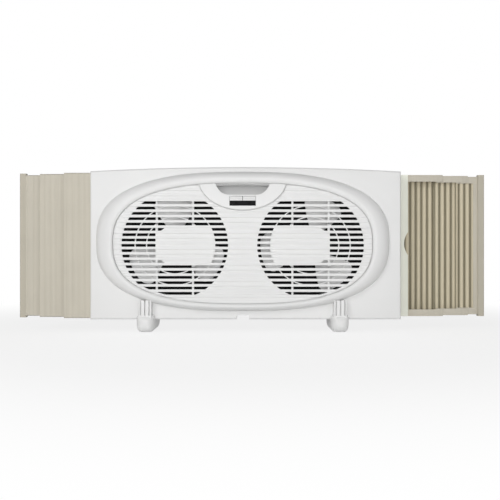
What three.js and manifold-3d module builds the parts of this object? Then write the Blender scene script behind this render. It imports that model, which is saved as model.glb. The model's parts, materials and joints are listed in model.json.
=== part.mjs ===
// Twin window fan with telescoping filler panels.
//
// Millimetres, +Z up, the front faces -Y. Every shape is drawn about the middle of the oval
// grille, at the height of the two fan axes; the whole group is then moved so that the soles
// of the feet stand on z = 0 under the middle of the overall box.
//
// The housing is two half shells of one moulding, the rear one turned half a turn about the
// vertical. Each half has a short end, from which a filler panel of three nested leaves slides
// out behind the flat plate, and a long, closed end.

import * as THREE from 'three';
import { mergeVertices } from 'three/addons/utils/BufferGeometryUtils.js';
import Module from 'manifold-3d';

const wasm = await Module();
wasm.setup();

// ---------------------------------------------------------------- driving dimensions, mm

// Fits
const SEAT_GAP = 0.3; // between pieces that rest on each other
const SLIDE_GAP = 0.4; // between pieces that slide on each other
const OVERLAP = 0.4; // how far two bodies of one moulding run into each other
const BEYOND = 10; // how far a cutting tool runs past what it cuts
const PAST = 1; // the same, where little room is left behind the cut

// Fans
const BLADE_RADIUS = 100;
const BLADE_COUNT = 3;
const BLADE_SPAN = 54; // widest angle of one blade, degrees
const BLADE_THICKNESS = 2.2;
const BLADE_RISE = 27; // front edge to rear edge, along the axis
const BLADE_TIP_TAPER = 0.7; // how much of that rise is left at the tip
const BLADE_ROOT_NARROWING = 0.3; // share of the span that is missing at the root
const BLADE_WIDEST = 0.6; // share of the way from root to tip where it has its full span
const BLADE_TIP_ROUND_START = 0.78; // share of the way where the tip corners begin to round
const BLADE_TIP_ROUND = 0.62;
const BLADE_CAMBER = 0.12; // share of the rise
const BLADE_EDGE_SHARE = 0.5; // thickness left at the front and rear edges
const LEFT_BLADE_ANGLE = 92; // degrees, anticlockwise from +X in the front view
const RIGHT_BLADE_ANGLE = 70;
const HUB_RADIUS = 31;
const HUB_DEPTH = 30;
const HUB_WALL = 2;
const HUB_BOSS_RADIUS = 7;
const HUB_BOSS_FLARE = 2;
const HUB_BOSS_SHORTER = 8; // the boss ends this far before the open back of the hub
const HUB_NOSE = 1; // hub in front of the blades
const HUB_CHAMFER = { across: 4, deep: 3 };
const SHAFT_RADIUS = 3;
const TIP_CLEARANCE = 3.5; // blade tip to the throat round it
const THROAT_FLARE = 3.5; // throat to the round opening in the grille
const FAN_GAP = 58; // between the two round openings

// Grille
const SLOT_PITCH = 10.67;
const SLOT_HEIGHT = 5.6;
const GROOVE_DEPTH = 1.2; // of the lines that carry on where the slats are closed
const SLAT_DEPTH = 3.8; // at the top and bottom of the grille
const GRILLE_BULGE = 2; // how much prouder the middle slats stand
const GRILLE_MARGIN = 14; // round opening to the top and bottom edge of the grille
const GRILLE_END_MARGIN = 17; // round opening to the left and right edge of the grille
const GRILLE_LIFT = 4; // middle of the grille's oval above the fan axes
const CROSS_RIB_OFFSET = 36.3; // fan axis to each upright rib
const CROSS_RIB_WIDTH = 4;
const RING_RADII = [57, 80]; // ribs round the fan axis, behind the slats
const RING_WIDTH = 2;
const RIB_DEPTH = 3.6;
const RIB_END_GAP = 1.2; // the upright ribs stop this far inside the ledge
const SLOT_BORDER = 5; // slots end this far inside the edge of the grille
const REAR_FACE_ROWS = 3; // rows between two corners of the rear grille's ungrooved face
const CLOSED_TOP_ROWS = 1; // top rows of each round opening that stay closed
const HUB_COVER_ROWS = 3; // rows above and below the axis that stay closed over the hub
const HUB_COVER_RADIUS = 40;

// Oval rim round the grille
const OVAL_POWER = 2.6; // exponent of the rim's superellipse
const RIM_BAND = 7; // inner edge to the crest
const RIM_DROP = 5; // the inner edge lies this far behind the crest
const RIM_RISE = 24; // the crest stands this far in front of the flat plate
const SKIRT_RUN_ENDS = 30; // crest to the foot of the skirt, at the left and right
const SKIRT_RUN_SIDES = 13; // crest to the foot of the skirt, above and below
const CREST_LIFT = 6; // middle of the crest above the fan axes
const SKIRT_LIFT = 8; // middle of the foot of the skirt above the fan axes
const RIM_WALL = 2.4;
// Corners of the rim's section, as shares of the skirt's run and of the crest's rise
const SKIRT_CORNERS = [{ run: 0.72, rise: 0.42 }, { run: 0.38, rise: 0.84 }];
const SKIRT_INSIDE_CORNER = { run: 0.62, rise: 0.42 };
const SKIRT_INSIDE_FOOT = 0.8;
const PLATE_UNDER_SKIRT = 0.12; // share of the skirt's run where the plate lies under it
const LEDGE_WIDTH = 3; // shelf that the grille rests on
const LEDGE_THICKNESS = 2;

// Housing
const PLATE_HALF_DEPTH = 38; // parting plane to the flat plate
const WALL = 2.2;
const EDGE_ROUND = 4;
const LAND_SIDES = 17; // foot of the skirt to the bottom edge of the housing
const LAND_ENDS = 12.6; // foot of the skirt to the short end
const LONG_END_EXTRA = 11.2; // the closed end reaches this much further
const CROWN_RISE = 9; // the top edge is this much higher in the middle
const CORD_NOTCH_WIDTH = 25; // notch through the bottom edge
const CORD_NOTCH_HEIGHT = 8.5;
const BOSS_RADIUS = 4.6;
const BOSS_FROM_END = 84; // short end to the screw bosses
const BOSS_FROM_EDGE = 19; // top and bottom edge to the screw bosses
const SCREW_RADIUS = 1.5;
const SCREW_HEAD_RADIUS = 3.4;
const SCREW_HEAD_HEIGHT = 2.4;
const SCREW_PLAY = 0.4;
const SCREW_HEAD_ROUND = 1;
const HOUSING_SCREW_BITE = 1 / 3; // share of the front shell's depth that a screw reaches into

// Filler panels: leaf 0 runs in the housing, leaf 1 in leaf 0, leaf 2 in leaf 1
const LEAF_WIDTHS = [85, 66, 58];
const LEAF_WALL = 1.3;
const LEAF_LIP_THICKNESS = 1.4;
const LEAF_LIP_HEIGHT = 14; // the rail along the top and bottom of a leaf's ribbed side
const LEAF_RIB_DEPTH = 5.6;
const LEAF_RIB_PITCH = 12.3;
const LEAF_RIB_WIDTH = 7.2;
const LEAF_RIB_DRAFT = 0.6; // each side of a rib leans in by this much
const STILE_WIDTH = 13;
const STILE_LIP_WIDTH = 22;
const STILE_WALL = 1.8;
const STILE_ROUND = 3;
// How far the outer edges of the leaves stand out past the short end
const LEFT_LEAF_REACH = [53.4, 104.4, 147.9];
const RIGHT_LEAF_REACH = [107.8, 160.7, 194.7];

// Pocket walls that guide the filler panels
const GUIDE_REACH = 34.4; // how far the guide stands out past the short end
const GUIDE_WALL = 2.2;
const POCKET_TO_BAFFLE = 6;
const FINGER_NOTCH_HEIGHT = 48;
const FINGER_NOTCH_DEPTH = 8;
const FINGER_NOTCH_RISE = 4; // centre of the notch above the fan axes

// Handle and controls at the top of the grille
const BEZEL_HALF_WIDTH = 88;
const BEZEL_DROP = 62; // height of the half ellipse
const BEZEL_CENTRE = 7.6; // centre of that ellipse above the grille's top edge
const BEZEL_PROUD = 2; // bezel in front of the middle slats
const BEZEL_WALL = 2.4;
const GRIP_TOP_HALF = 54.5; // hand recess, half width at its top edge
const GRIP_FLOOR_HALF = 27; // and along its flat bottom
const GRIP_HEIGHT = 22;
const GRIP_DEPTH = 24;
const GRIP_TOP_LAND = 1.6; // strip of bezel over the recess
const GRIP_WALL = 1.8;
const CONTROL_WIDTH = 52.6;
const CONTROL_HEIGHT = 19.4;
const CONTROL_LAND = 0.8; // bezel between the recess and the control opening
const SWITCH_PLATE_THICKNESS = 2;
const SWITCH_PLATE_SUNK = 2.6; // plate behind the bezel's face
const SLIDER_HEIGHT = 9;
const SLIDER_THICKNESS = 2;
const SLIDER_SPLIT = 0.8; // gap between the two sliders
const SLIDER_SLOPE = 1; // its top and bottom edges lean in by this much
const SLIDER_RIDGE = { share: 0.25, rise: 1 }; // finger ridge, share of half the height
const SLIDER_TRAVEL = 9;
const STEM_SIZE = 4;
const SWITCH_BODY_WIDTH = 20;
const SWITCH_BODY_HEIGHT = 18;
const SWITCH_BODY_DEPTH = 12;
const TERMINAL = { width: 4.8, thickness: 0.8, length: 5, pitch: 5 };

// Baffle, motors and screen
const BAFFLE_THICKNESS = 2;
const BAFFLE_BEHIND_BLADES = 6;
const THROAT_WALL = 2;
const SPOKE_COUNT = 3;
const SPOKE_WIDTH = 9;
const SPOKE_DEPTH = 6;
const MOTOR_RADIUS = 34;
const MOTOR_LENGTH = 34;
const MOTOR_BELL_RADIUS = 22;
const MOTOR_BELL_LENGTH = 6;
const MOTOR_SCREW_OFFSET = 28;
const BUSHING_RADIUS = 6;
const BUSHING_LENGTH = 7;
const BUSHING_SUNK = 1; // bushing behind the mouth of its bore
const SHAFT_PAST_BELL = 2;
const CLIP_RADIUS = 6;
const CLIP_THICKNESS = 3;
const CAPACITOR = { width: 34, height: 24, depth: 17, round: 3 };
const SCREEN_THICKNESS = 1;
const CORD_RADIUS = 2.8;
const CORD_BUSH_RADIUS = 5.4;
const CORD_BUSH_FLANGE = 8;
const CORD_BUSH_NOSE = { across: 1, deep: 3 };
const CORD_BUSH_CATCH = { across: 1, deep: 2 }; // the catch inside the shell is smaller
const CORD_INLET_FROM_END = 32;
const CORD_INLET_FROM_EDGE = 24;

// Feet
const FOOT_DROP = 25; // housing's bottom edge above the soles
const FOOT_FROM_FAN = 60; // fan axis to each foot, outward
const FOOT_WIDTH = 36.6;
const SOLE_WIDTH = 17;
const FOOT_TOE = 22; // toe in front of the flat plate
const TOE_HEIGHT = 37.5;
const STEM_WIDTH = 26;
const STEM_THICKNESS = 17;
const STEM_TOP_SLOPE = 2.6; // its top leans out along the skirt, mm forward for each mm up
const STEM_GROOVES = 3;
const STEM_GROOVE_WIDTH = 2.6;
const STEM_GROOVE_DEPTH = 1.6;
const STEM_GROOVE_SUNK = 3; // the grooves start this far below the top of the toe
const TOE_ROUND = 4;

// Fineness of the curves
const OVAL_STEPS = 40;
const THROAT_STEPS = 28;
const RING_STEPS = 20;
const SHORT_STEPS = 8;
const HUB_STEPS = 20;
const BELL_HOLE_STEPS = 16;
const SHAFT_STEPS = 12;
const NOTCH_STEPS = 48;
const BEZEL_STEPS = 18;
const GRIP_STEPS = 6;
const STILE_STEPS = 4;
const CORNER_STEPS = 3;
const ROUND_EDGE_SEGMENTS = 2;
const TOP_EDGE_STEPS = 10;
const BLADE_ROWS = { radial: 6, chord: 5, gather: 1.6 }; // rows lie closer towards the tip

// ---------------------------------------------------------------- derived sizes

const THROAT_RADIUS = BLADE_RADIUS + TIP_CLEARANCE;
const OPENING_RADIUS = THROAT_RADIUS + THROAT_FLARE;
const FAN_OFFSET = OPENING_RADIUS + FAN_GAP / 2;

const GRILLE_OVAL = {
  halfWidth: FAN_OFFSET + OPENING_RADIUS + GRILLE_END_MARGIN,
  halfHeight: OPENING_RADIUS + GRILLE_MARGIN,
  lift: GRILLE_LIFT,
};
const GRILLE_TOP = GRILLE_OVAL.lift + GRILLE_OVAL.halfHeight;
const CREST_OVAL = grown(GRILLE_OVAL, RIM_BAND, RIM_BAND, CREST_LIFT);
const SKIRT_OVAL = grown(CREST_OVAL, SKIRT_RUN_ENDS, SKIRT_RUN_SIDES, SKIRT_LIFT);

const HALF_HEIGHT = SKIRT_OVAL.halfHeight - SKIRT_OVAL.lift + LAND_SIDES;
const SHORT_END = SKIRT_OVAL.halfWidth + LAND_ENDS;
const LONG_END = SHORT_END + LONG_END_EXTRA;
const AXIS_HEIGHT = FOOT_DROP + HALF_HEIGHT;
const FOOT_OFFSET = FAN_OFFSET + FOOT_FROM_FAN;

// Depths, as distances in front of the parting plane (toward -Y in the front half)
const CREST_FRONT = PLATE_HALF_DEPTH + RIM_RISE;
const GRILLE_FRONT = CREST_FRONT - RIM_DROP;
const GRILLE_BACK = GRILLE_FRONT - SLAT_DEPTH;
const LEDGE_FRONT = GRILLE_BACK - SEAT_GAP;
const LEDGE_BACK = LEDGE_FRONT - LEDGE_THICKNESS;
const BEZEL_FRONT = GRILLE_FRONT + GRILLE_BULGE + BEZEL_PROUD;
const BLADE_FRONT = LEDGE_BACK - RIB_DEPTH - TIP_CLEARANCE;
const BLADE_BACK = BLADE_FRONT - BLADE_RISE;
const HUB_FRONT = BLADE_FRONT + HUB_NOSE;
const BAFFLE_FRONT = BLADE_BACK - BAFFLE_BEHIND_BLADES;
const BAFFLE_BACK = BAFFLE_FRONT - BAFFLE_THICKNESS;
const MOTOR_FRONT = BAFFLE_FRONT - SPOKE_DEPTH - SEAT_GAP;
const MOTOR_BACK = MOTOR_FRONT - MOTOR_LENGTH;
const BELL_BACK = MOTOR_BACK - MOTOR_BELL_LENGTH;

const BOSS_X = SHORT_END - BOSS_FROM_END;
const BOSS_Z = HALF_HEIGHT - BOSS_FROM_EDGE;

const LEAF_OUTER_FRONT = PLATE_HALF_DEPTH - WALL - SLIDE_GAP;
const LEAF_STEP = LEAF_WALL + LEAF_RIB_DEPTH + SLIDE_GAP;
const LEAF_LAST_FACE_BACK = LEAF_OUTER_FRONT - 2 * LEAF_STEP - LEAF_WALL;
const LEAF_INNER_LIP_FRONT = LEAF_LAST_FACE_BACK - LEAF_RIB_DEPTH - SLIDE_GAP;
const LEAF_LIP_STEP = LEAF_LIP_THICKNESS + SLIDE_GAP;
const LEAF_OUTER_BACK = LEAF_INNER_LIP_FRONT - 2 * LEAF_LIP_STEP - LEAF_LIP_THICKNESS;
const LEAF_HALF_HEIGHT = HALF_HEIGHT - WALL - SLIDE_GAP;
const LEAF_HEIGHT_STEP = LEAF_WALL + SLIDE_GAP;

const LEFT_LEAF_EDGES = LEFT_LEAF_REACH.map((reach) => SHORT_END + reach);
const RIGHT_LEAF_EDGES = RIGHT_LEAF_REACH.map((reach) => SHORT_END + reach);

const GUIDE_FRONT = LEAF_OUTER_BACK - SLIDE_GAP;
const GUIDE_BACK = GUIDE_FRONT - GUIDE_WALL;
const GUIDE_END = SHORT_END + GUIDE_REACH;
const BAFFLE_HALF_WIDTH = FAN_OFFSET + THROAT_RADIUS + THROAT_WALL + POCKET_TO_BAFFLE;
const GUIDE_START = BAFFLE_HALF_WIDTH + POCKET_TO_BAFFLE;

const CONTROL_TOP = GRILLE_TOP - SEAT_GAP - GRIP_TOP_LAND - GRIP_HEIGHT - GRIP_WALL
  - CONTROL_LAND;
const CONTROL_MIDDLE = CONTROL_TOP - CONTROL_HEIGHT / 2;
const SWITCH_PLATE_FRONT = BEZEL_FRONT - SWITCH_PLATE_SUNK;
const SWITCH_PLATE_BACK = SWITCH_PLATE_FRONT - SWITCH_PLATE_THICKNESS;
const SLIDER_WIDTH = (CONTROL_WIDTH - 2 * SLIDE_GAP - SLIDER_SPLIT) / 2;
const SLIDER_OFFSET = (SLIDER_WIDTH + SLIDER_SPLIT) / 2;
const SLIDER_REST = CONTROL_TOP - SLIDE_GAP - SLIDER_HEIGHT / 2;

// ---------------------------------------------------------------- drawing helpers

function grown(oval, ends, sides, lift = oval.lift) {
  return { halfWidth: oval.halfWidth + ends, halfHeight: oval.halfHeight + sides, lift };
}

function ovalPoints(oval, steps = OVAL_STEPS) {
  const points = [];
  for (let i = 0; i < steps; i += 1) {
    const angle = (2 * Math.PI * i) / steps;
    const c = Math.cos(angle);
    const s = Math.sin(angle);
    points.push(new THREE.Vector2(
      oval.halfWidth * Math.sign(c) * Math.abs(c) ** (2 / OVAL_POWER),
      oval.lift + oval.halfHeight * Math.sign(s) * Math.abs(s) ** (2 / OVAL_POWER),
    ));
  }
  return points;
}

function outline(points) {
  return new THREE.Shape(points.map(([x, y]) => new THREE.Vector2(x, y)));
}

// A closed triangle mesh becomes a solid with its faces pointing out.
function solidOf(geometry) {
  const bare = geometry.clone();
  bare.deleteAttribute('normal');
  bare.deleteAttribute('uv');
  const merged = mergeVertices(bare, 1e-4);
  const place = merged.attributes.position;
  const corners = merged.index.array;
  const triangles = [];
  let volume = 0;
  const [a, b, c] = [new THREE.Vector3(), new THREE.Vector3(), new THREE.Vector3()];
  for (let i = 0; i < corners.length; i += 3) {
    const [p, q, r] = [corners[i], corners[i + 1], corners[i + 2]];
    if (p === q || q === r || r === p) continue;
    triangles.push(p, q, r);
    a.fromBufferAttribute(place, p);
    b.fromBufferAttribute(place, q);
    c.fromBufferAttribute(place, r);
    volume += a.dot(b.cross(c));
  }
  if (volume < 0) triangles.reverse();
  return new wasm.Manifold(new wasm.Mesh({
    numProp: 3,
    vertProperties: Float32Array.from(place.array),
    triVerts: Uint32Array.from(triangles),
  }));
}

// Options that round the edges of an extrusion without making it larger.
function roundEdges(radius) {
  return {
    bevelEnabled: true,
    bevelThickness: radius,
    bevelSize: radius,
    bevelOffset: -radius,
    bevelSegments: ROUND_EDGE_SEGMENTS,
  };
}

function extruded(shape, depth, options = {}) {
  return new THREE.ExtrudeGeometry(shape, {
    depth, bevelEnabled: false, curveSegments: SHORT_STEPS, ...options,
  });
}

// A shape drawn in (x, z) as the front view shows it, from `front` back to `back`, both given
// as distances in front of the parting plane.
function frontPrism(shape, front, back) {
  const geometry = extruded(shape, front - back);
  geometry.rotateX(Math.PI / 2);
  geometry.translate(0, -back, 0);
  return solidOf(geometry);
}

// A shape drawn in (y, z), from x0 to x1.
function sidePrism(shape, x0, x1) {
  const geometry = extruded(shape, x1 - x0);
  geometry.applyMatrix4(new THREE.Matrix4().makeBasis(
    new THREE.Vector3(0, 1, 0), new THREE.Vector3(0, 0, 1), new THREE.Vector3(1, 0, 0),
  ));
  geometry.translate(x0, 0, 0);
  return solidOf(geometry);
}

// A shape drawn in (x, y), from z0 to z1.
function uprightPrism(shape, z0, z1) {
  const geometry = extruded(shape, z1 - z0);
  geometry.translate(0, 0, z0);
  return solidOf(geometry);
}

function block(x0, x1, y0, y1, z0, z1) {
  const geometry = new THREE.BoxGeometry(x1 - x0, y1 - y0, z1 - z0);
  geometry.translate((x0 + x1) / 2, (y0 + y1) / 2, (z0 + z1) / 2);
  return solidOf(geometry);
}

// A block given by its width about x and its height about z, between two depths.
function frontBlock(x, halfWidth, z, halfHeight, front, back) {
  return block(x - halfWidth, x + halfWidth, -front, -back, z - halfHeight, z + halfHeight);
}

// A profile of [radius, distance in front of the parting plane] turned about the Y axis.
function turned(profile, x, z, steps) {
  const geometry = new THREE.LatheGeometry(
    profile.map(([radius, front]) => new THREE.Vector2(radius, -front)), steps,
  );
  geometry.translate(x, 0, z);
  return solidOf(geometry);
}

function disc(radius, x, z, front, back, steps = SHORT_STEPS) {
  return turned([[0, front], [radius, front], [radius, back], [0, back]], x, z, steps);
}

function ring(inner, outer, x, z, front, back, steps) {
  const profile = [[inner, front], [outer, front], [outer, back], [inner, back], [inner, front]];
  return turned(profile, x, z, steps);
}

// Rings of equal point counts joined into a skin: closed on itself, or capped at both ends.
function lofted(rings, closed) {
  const count = rings[0].length;
  const positions = rings.flat().flatMap((point) => [point.x, point.y, point.z]);
  const index = [];
  const last = closed ? rings.length : rings.length - 1;
  for (let i = 0; i < last; i += 1) {
    const here = i * count;
    const next = ((i + 1) % rings.length) * count;
    for (let j = 0; j < count; j += 1) {
      const k = (j + 1) % count;
      index.push(here + j, next + j, next + k, here + j, next + k, here + k);
    }
  }
  if (!closed) {
    const top = (rings.length - 1) * count;
    const half = count / 2;
    for (let j = 0; j < half - 1; j += 1) {
      const far = count - 1 - j;
      index.push(j, j + 1, far, j + 1, far - 1, far);
      index.push(top + j, top + far, top + j + 1, top + j + 1, top + far, top + far - 1);
    }
  }
  const geometry = new THREE.BufferGeometry();
  geometry.setAttribute('position', new THREE.Float32BufferAttribute(positions, 3));
  geometry.setIndex(index);
  return solidOf(geometry);
}

function joined(solids) {
  return solids.reduce((whole, solid) => whole.add(solid));
}

function cut(solid, tools) {
  return tools.reduce((rest, tool) => rest.subtract(tool), solid);
}

function meshOf(name, solid, material) {
  const { vertProperties, triVerts, numProp } = solid.getMesh();
  const positions = [];
  for (let i = 0; i < vertProperties.length; i += numProp) {
    positions.push(vertProperties[i], vertProperties[i + 1], vertProperties[i + 2]);
  }
  const geometry = new THREE.BufferGeometry();
  geometry.setAttribute('position', new THREE.Float32BufferAttribute(positions, 3));
  geometry.setIndex(Array.from(triVerts));
  geometry.computeVertexNormals();
  const mesh = new THREE.Mesh(geometry, material);
  mesh.name = name;
  return mesh;
}

// The rear half of the housing is the front half turned half a turn about the vertical.
function turnedToRear(mesh) {
  mesh.rotation.z = Math.PI;
  return mesh;
}

// ---------------------------------------------------------------- materials

function plastic(color, roughness) {
  return new THREE.MeshStandardMaterial({ color, roughness, metalness: 0 });
}

function metal(color, roughness) {
  return new THREE.MeshStandardMaterial({ color, roughness, metalness: 1 });
}

const WHITE_PLASTIC = plastic(0xe6e6e4, 0.45);
const BLADE_PLASTIC = plastic(0xf0f0ee, 0.4);
const CREAM_PLASTIC = plastic(0xe3e4d8, 0.5);
const BEIGE_PLASTIC = plastic(0xc6bfb1, 0.55);
const BLACK_PLASTIC = plastic(0x1a1a1b, 0.5);
const CHARCOAL_PLASTIC = plastic(0x2b2b2c, 0.6);
const SCREEN_MESH = plastic(0x202021, 0.8);
const STEEL = metal(0xb9bbbd, 0.35);
const MOTOR_STEEL = metal(0x74767a, 0.45);
const BRONZE = metal(0x9a7444, 0.4);

// ---------------------------------------------------------------- half shells

function topEdge(x) {
  return HALF_HEIGHT + CROWN_RISE * (1 - (x / LONG_END) ** 2);
}

// Outline of the housing in the front view, each edge moved in by `inset`.
function housingOutline(left, right, inset) {
  const points = [[left, inset - HALF_HEIGHT], [right, inset - HALF_HEIGHT]];
  for (let i = 0; i <= TOP_EDGE_STEPS; i += 1) {
    const x = right + ((left - right) * i) / TOP_EDGE_STEPS;
    points.push([x, topEdge(x) - inset]);
  }
  return outline(points);
}

function housingTray() {
  const depth = PLATE_HALF_DEPTH + BEYOND;
  const geometry = extruded(housingOutline(-SHORT_END, LONG_END, 0), depth - 2 * EDGE_ROUND,
    roundEdges(EDGE_ROUND));
  geometry.rotateX(Math.PI / 2);
  geometry.translate(0, depth - EDGE_ROUND - PLATE_HALF_DEPTH, 0);
  const behindParting = frontBlock(0, 2 * LONG_END, 0, 2 * HALF_HEIGHT, SEAT_GAP / 2,
    -2 * BEYOND);
  const cavity = frontPrism(housingOutline(-SHORT_END - BEYOND, LONG_END - WALL, WALL),
    PLATE_HALF_DEPTH - WALL, -BEYOND);
  return cut(solidOf(geometry), [behindParting, cavity]);
}

// Rim and skirt of the oval dome: one closed profile carried round the superellipse.
function ovalRim() {
  const skirtAt = (share, depth) => ({
    oval: grown(CREST_OVAL, SKIRT_RUN_ENDS * share, SKIRT_RUN_SIDES * share,
      CREST_LIFT + (SKIRT_LIFT - CREST_LIFT) * share),
    front: PLATE_HALF_DEPTH + depth,
  });
  const bandAt = (inward, front) => ({
    oval: grown(CREST_OVAL, -inward, -inward,
      CREST_LIFT + (GRILLE_LIFT - CREST_LIFT) * Math.min(inward / RIM_BAND, 1)),
    front,
  });
  const buried = WALL / 2;
  const profile = [
    skirtAt(1, -buried),
    ...SKIRT_CORNERS.map(({ run, rise }) => skirtAt(run, RIM_RISE * rise)),
    skirtAt(0, RIM_RISE),
    bandAt(RIM_BAND, GRILLE_FRONT),
    bandAt(RIM_BAND, LEDGE_FRONT),
    bandAt(RIM_BAND + LEDGE_WIDTH, LEDGE_FRONT),
    bandAt(RIM_BAND + LEDGE_WIDTH, LEDGE_BACK),
    bandAt(RIM_BAND - RIM_WALL, LEDGE_BACK),
    bandAt(RIM_BAND - RIM_WALL, GRILLE_FRONT - RIM_WALL / 2),
    bandAt(0, CREST_FRONT - RIM_WALL),
    skirtAt(SKIRT_INSIDE_CORNER.run, RIM_RISE * SKIRT_INSIDE_CORNER.rise),
    skirtAt(SKIRT_INSIDE_FOOT, -buried),
  ];
  const rings = profile.map(({ oval, front }) => ovalPoints(oval)
    .map((point) => new THREE.Vector3(point.x, -front, point.y)));
  return lofted(rings, true);
}

function screwPlaces() {
  const places = [];
  for (const x of [-BOSS_X, BOSS_X]) {
    for (const z of [-BOSS_Z, BOSS_Z]) places.push({ x, z });
  }
  return places;
}

// Tunnel that keeps the notch in the bottom edge apart from the inside.
function notchTunnel() {
  const top = CORD_NOTCH_HEIGHT - HALF_HEIGHT;
  const half = CORD_NOTCH_WIDTH / 2;
  const walls = block(-half - WALL, half + WALL, -PLATE_HALF_DEPTH + EDGE_ROUND, -SEAT_GAP / 2,
    -HALF_HEIGHT + OVERLAP, top + WALL);
  const opening = block(-half, half, -PLATE_HALF_DEPTH - BEYOND, BEYOND,
    -HALF_HEIGHT - BEYOND, top);
  return { walls, opening };
}

// Upright strip that closes the short end behind the filler panel's guide.
function shortEndJamb() {
  const front = GUIDE_BACK - SLIDE_GAP;
  return block(-SHORT_END, -SHORT_END + WALL, -front, -SEAT_GAP / 2,
    -HALF_HEIGHT + OVERLAP, HALF_HEIGHT - OVERLAP);
}

function halfShell(isRear) {
  const plateOpening = frontPrism(new THREE.Shape(ovalPoints(grown(SKIRT_OVAL,
    -SKIRT_RUN_ENDS * PLATE_UNDER_SKIRT, -SKIRT_RUN_SIDES * PLATE_UNDER_SKIRT))),
  PLATE_HALF_DEPTH + BEYOND, PLATE_HALF_DEPTH - WALL - BEYOND / 2);
  const bosses = screwPlaces().map(({ x, z }) => disc(BOSS_RADIUS, x, z,
    PLATE_HALF_DEPTH - WALL + OVERLAP, SEAT_GAP / 2));
  const bores = screwPlaces().map(({ x, z }) => disc(SCREW_RADIUS + SCREW_PLAY, x, z,
    isRear ? PLATE_HALF_DEPTH + BEYOND : PLATE_HALF_DEPTH - 2 * WALL, -BEYOND));
  const counterbores = isRear ? screwPlaces().map(({ x, z }) => disc(
    SCREW_HEAD_RADIUS + SCREW_PLAY, x, z, PLATE_HALF_DEPTH + BEYOND,
    PLATE_HALF_DEPTH - 2 * SCREW_HEAD_HEIGHT,
  )) : [];
  const inlet = isRear ? [disc(CORD_BUSH_RADIUS + SEAT_GAP, LONG_END - CORD_INLET_FROM_END,
    CORD_INLET_FROM_EDGE - HALF_HEIGHT, PLATE_HALF_DEPTH + BEYOND,
    PLATE_HALF_DEPTH - WALL - BEYOND)] : [];
  const tunnel = notchTunnel();
  const tray = cut(housingTray(), [plateOpening]);
  const body = joined([tray, ovalRim(), tunnel.walls, shortEndJamb(), ...bosses]);
  return cut(body, [tunnel.opening, ...bores, ...counterbores, ...inlet]);
}

// ---------------------------------------------------------------- grille

function slatFront(z) {
  const share = (z - GRILLE_OVAL.lift) / GRILLE_OVAL.halfHeight;
  return GRILLE_FRONT + GRILLE_BULGE * (1 - share ** 2);
}

// Half the length of a level line inside an oval, at height z above the fan axes.
function ovalReach(oval, z) {
  const share = Math.min(Math.abs(z - oval.lift) / oval.halfHeight, 1);
  return oval.halfWidth * (1 - share ** OVAL_POWER) ** (1 / OVAL_POWER);
}

// Half the height of an oval, at distance x from its centre.
function ovalRise(oval, x) {
  const share = Math.min(Math.abs(x) / oval.halfWidth, 1);
  return oval.halfHeight * (1 - share ** OVAL_POWER) ** (1 / OVAL_POWER);
}

// The closed face: slats and shallow grooves as one profile, drawn along X inside the oval.
function grilleBlank(withGrooves) {
  const oval = grown(GRILLE_OVAL, -SEAT_GAP, -SEAT_GAP);
  const bottom = oval.lift - oval.halfHeight - PAST;
  const top = oval.lift + oval.halfHeight + PAST;
  const lowest = Math.ceil((bottom + SLOT_HEIGHT) / SLOT_PITCH);
  const highest = Math.floor((top - SLOT_HEIGHT) / SLOT_PITCH);
  const profile = [[-GRILLE_BACK, bottom], [-slatFront(bottom), bottom]];
  for (let row = lowest; row <= highest; row += 1) {
    const low = row * SLOT_PITCH - SLOT_HEIGHT / 2;
    const high = low + SLOT_HEIGHT;
    if (withGrooves) {
      profile.push([-slatFront(low), low], [GROOVE_DEPTH - slatFront(low), low]);
      profile.push([GROOVE_DEPTH - slatFront(high), high], [-slatFront(high), high]);
    } else if (row % REAR_FACE_ROWS === 0) {
      profile.push([-slatFront(low), low]);
    }
  }
  profile.push([-slatFront(top), top], [-GRILLE_BACK, top]);
  const face = sidePrism(outline(profile), -oval.halfWidth - PAST, oval.halfWidth + PAST);
  return face.intersect(frontPrism(new THREE.Shape(ovalPoints(oval)), CREST_FRONT + BEYOND,
    GRILLE_BACK - BEYOND));
}

// One slot: its ends follow the arcs of two circles about the fan axis, or stand upright.
function slotTool(fan, row, from, to) {
  const low = row * SLOT_PITCH - SLOT_HEIGHT / 2;
  const high = low + SLOT_HEIGHT;
  const corners = [[from(low), low], [to(low), low], [to(high), high], [from(high), high]];
  const places = corners.map(([across, z]) => [fan.x + fan.outward * across, z]);
  return frontPrism(outline(places), CREST_FRONT + BEYOND, GRILLE_BACK - BEYOND);
}

function slotsOfFan(fan) {
  const arc = (radius) => (z) => Math.sqrt(Math.max(radius ** 2 - z ** 2, 0));
  const back = (reach) => (z) => -reach(z);
  const rim = arc(OPENING_RADIUS);
  const border = grown(GRILLE_OVAL, -SLOT_BORDER, -SLOT_BORDER);
  const outer = (z) => Math.min(rim(z), ovalReach(border, z) - FAN_OFFSET);
  const upright = (x) => () => x;
  const ribOuter = CROSS_RIB_OFFSET + CROSS_RIB_WIDTH / 2;
  const ribInner = CROSS_RIB_OFFSET - CROSS_RIB_WIDTH / 2;
  const coverEdge = arc(RING_RADII[1] + RING_WIDTH / 2);
  const rows = Math.floor((OPENING_RADIUS - SLOT_HEIGHT) / SLOT_PITCH);
  const tools = [];
  for (let row = -rows; row <= rows - CLOSED_TOP_ROWS; row += 1) {
    if (Math.abs(row) > HUB_COVER_ROWS) {
      tools.push(slotTool(fan, row, back(rim), outer));
      continue;
    }
    tools.push(slotTool(fan, row, upright(ribOuter), outer));
    tools.push(slotTool(fan, row, back(rim), back(coverEdge)));
    const cover = arc(HUB_COVER_RADIUS);
    const reach = cover(Math.abs(row) * SLOT_PITCH - SLOT_HEIGHT / 2);
    if (reach < ribInner - SLOT_HEIGHT / 2) {
      tools.push(slotTool(fan, row, cover, upright(ribInner)));
    }
  }
  return tools;
}

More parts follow.
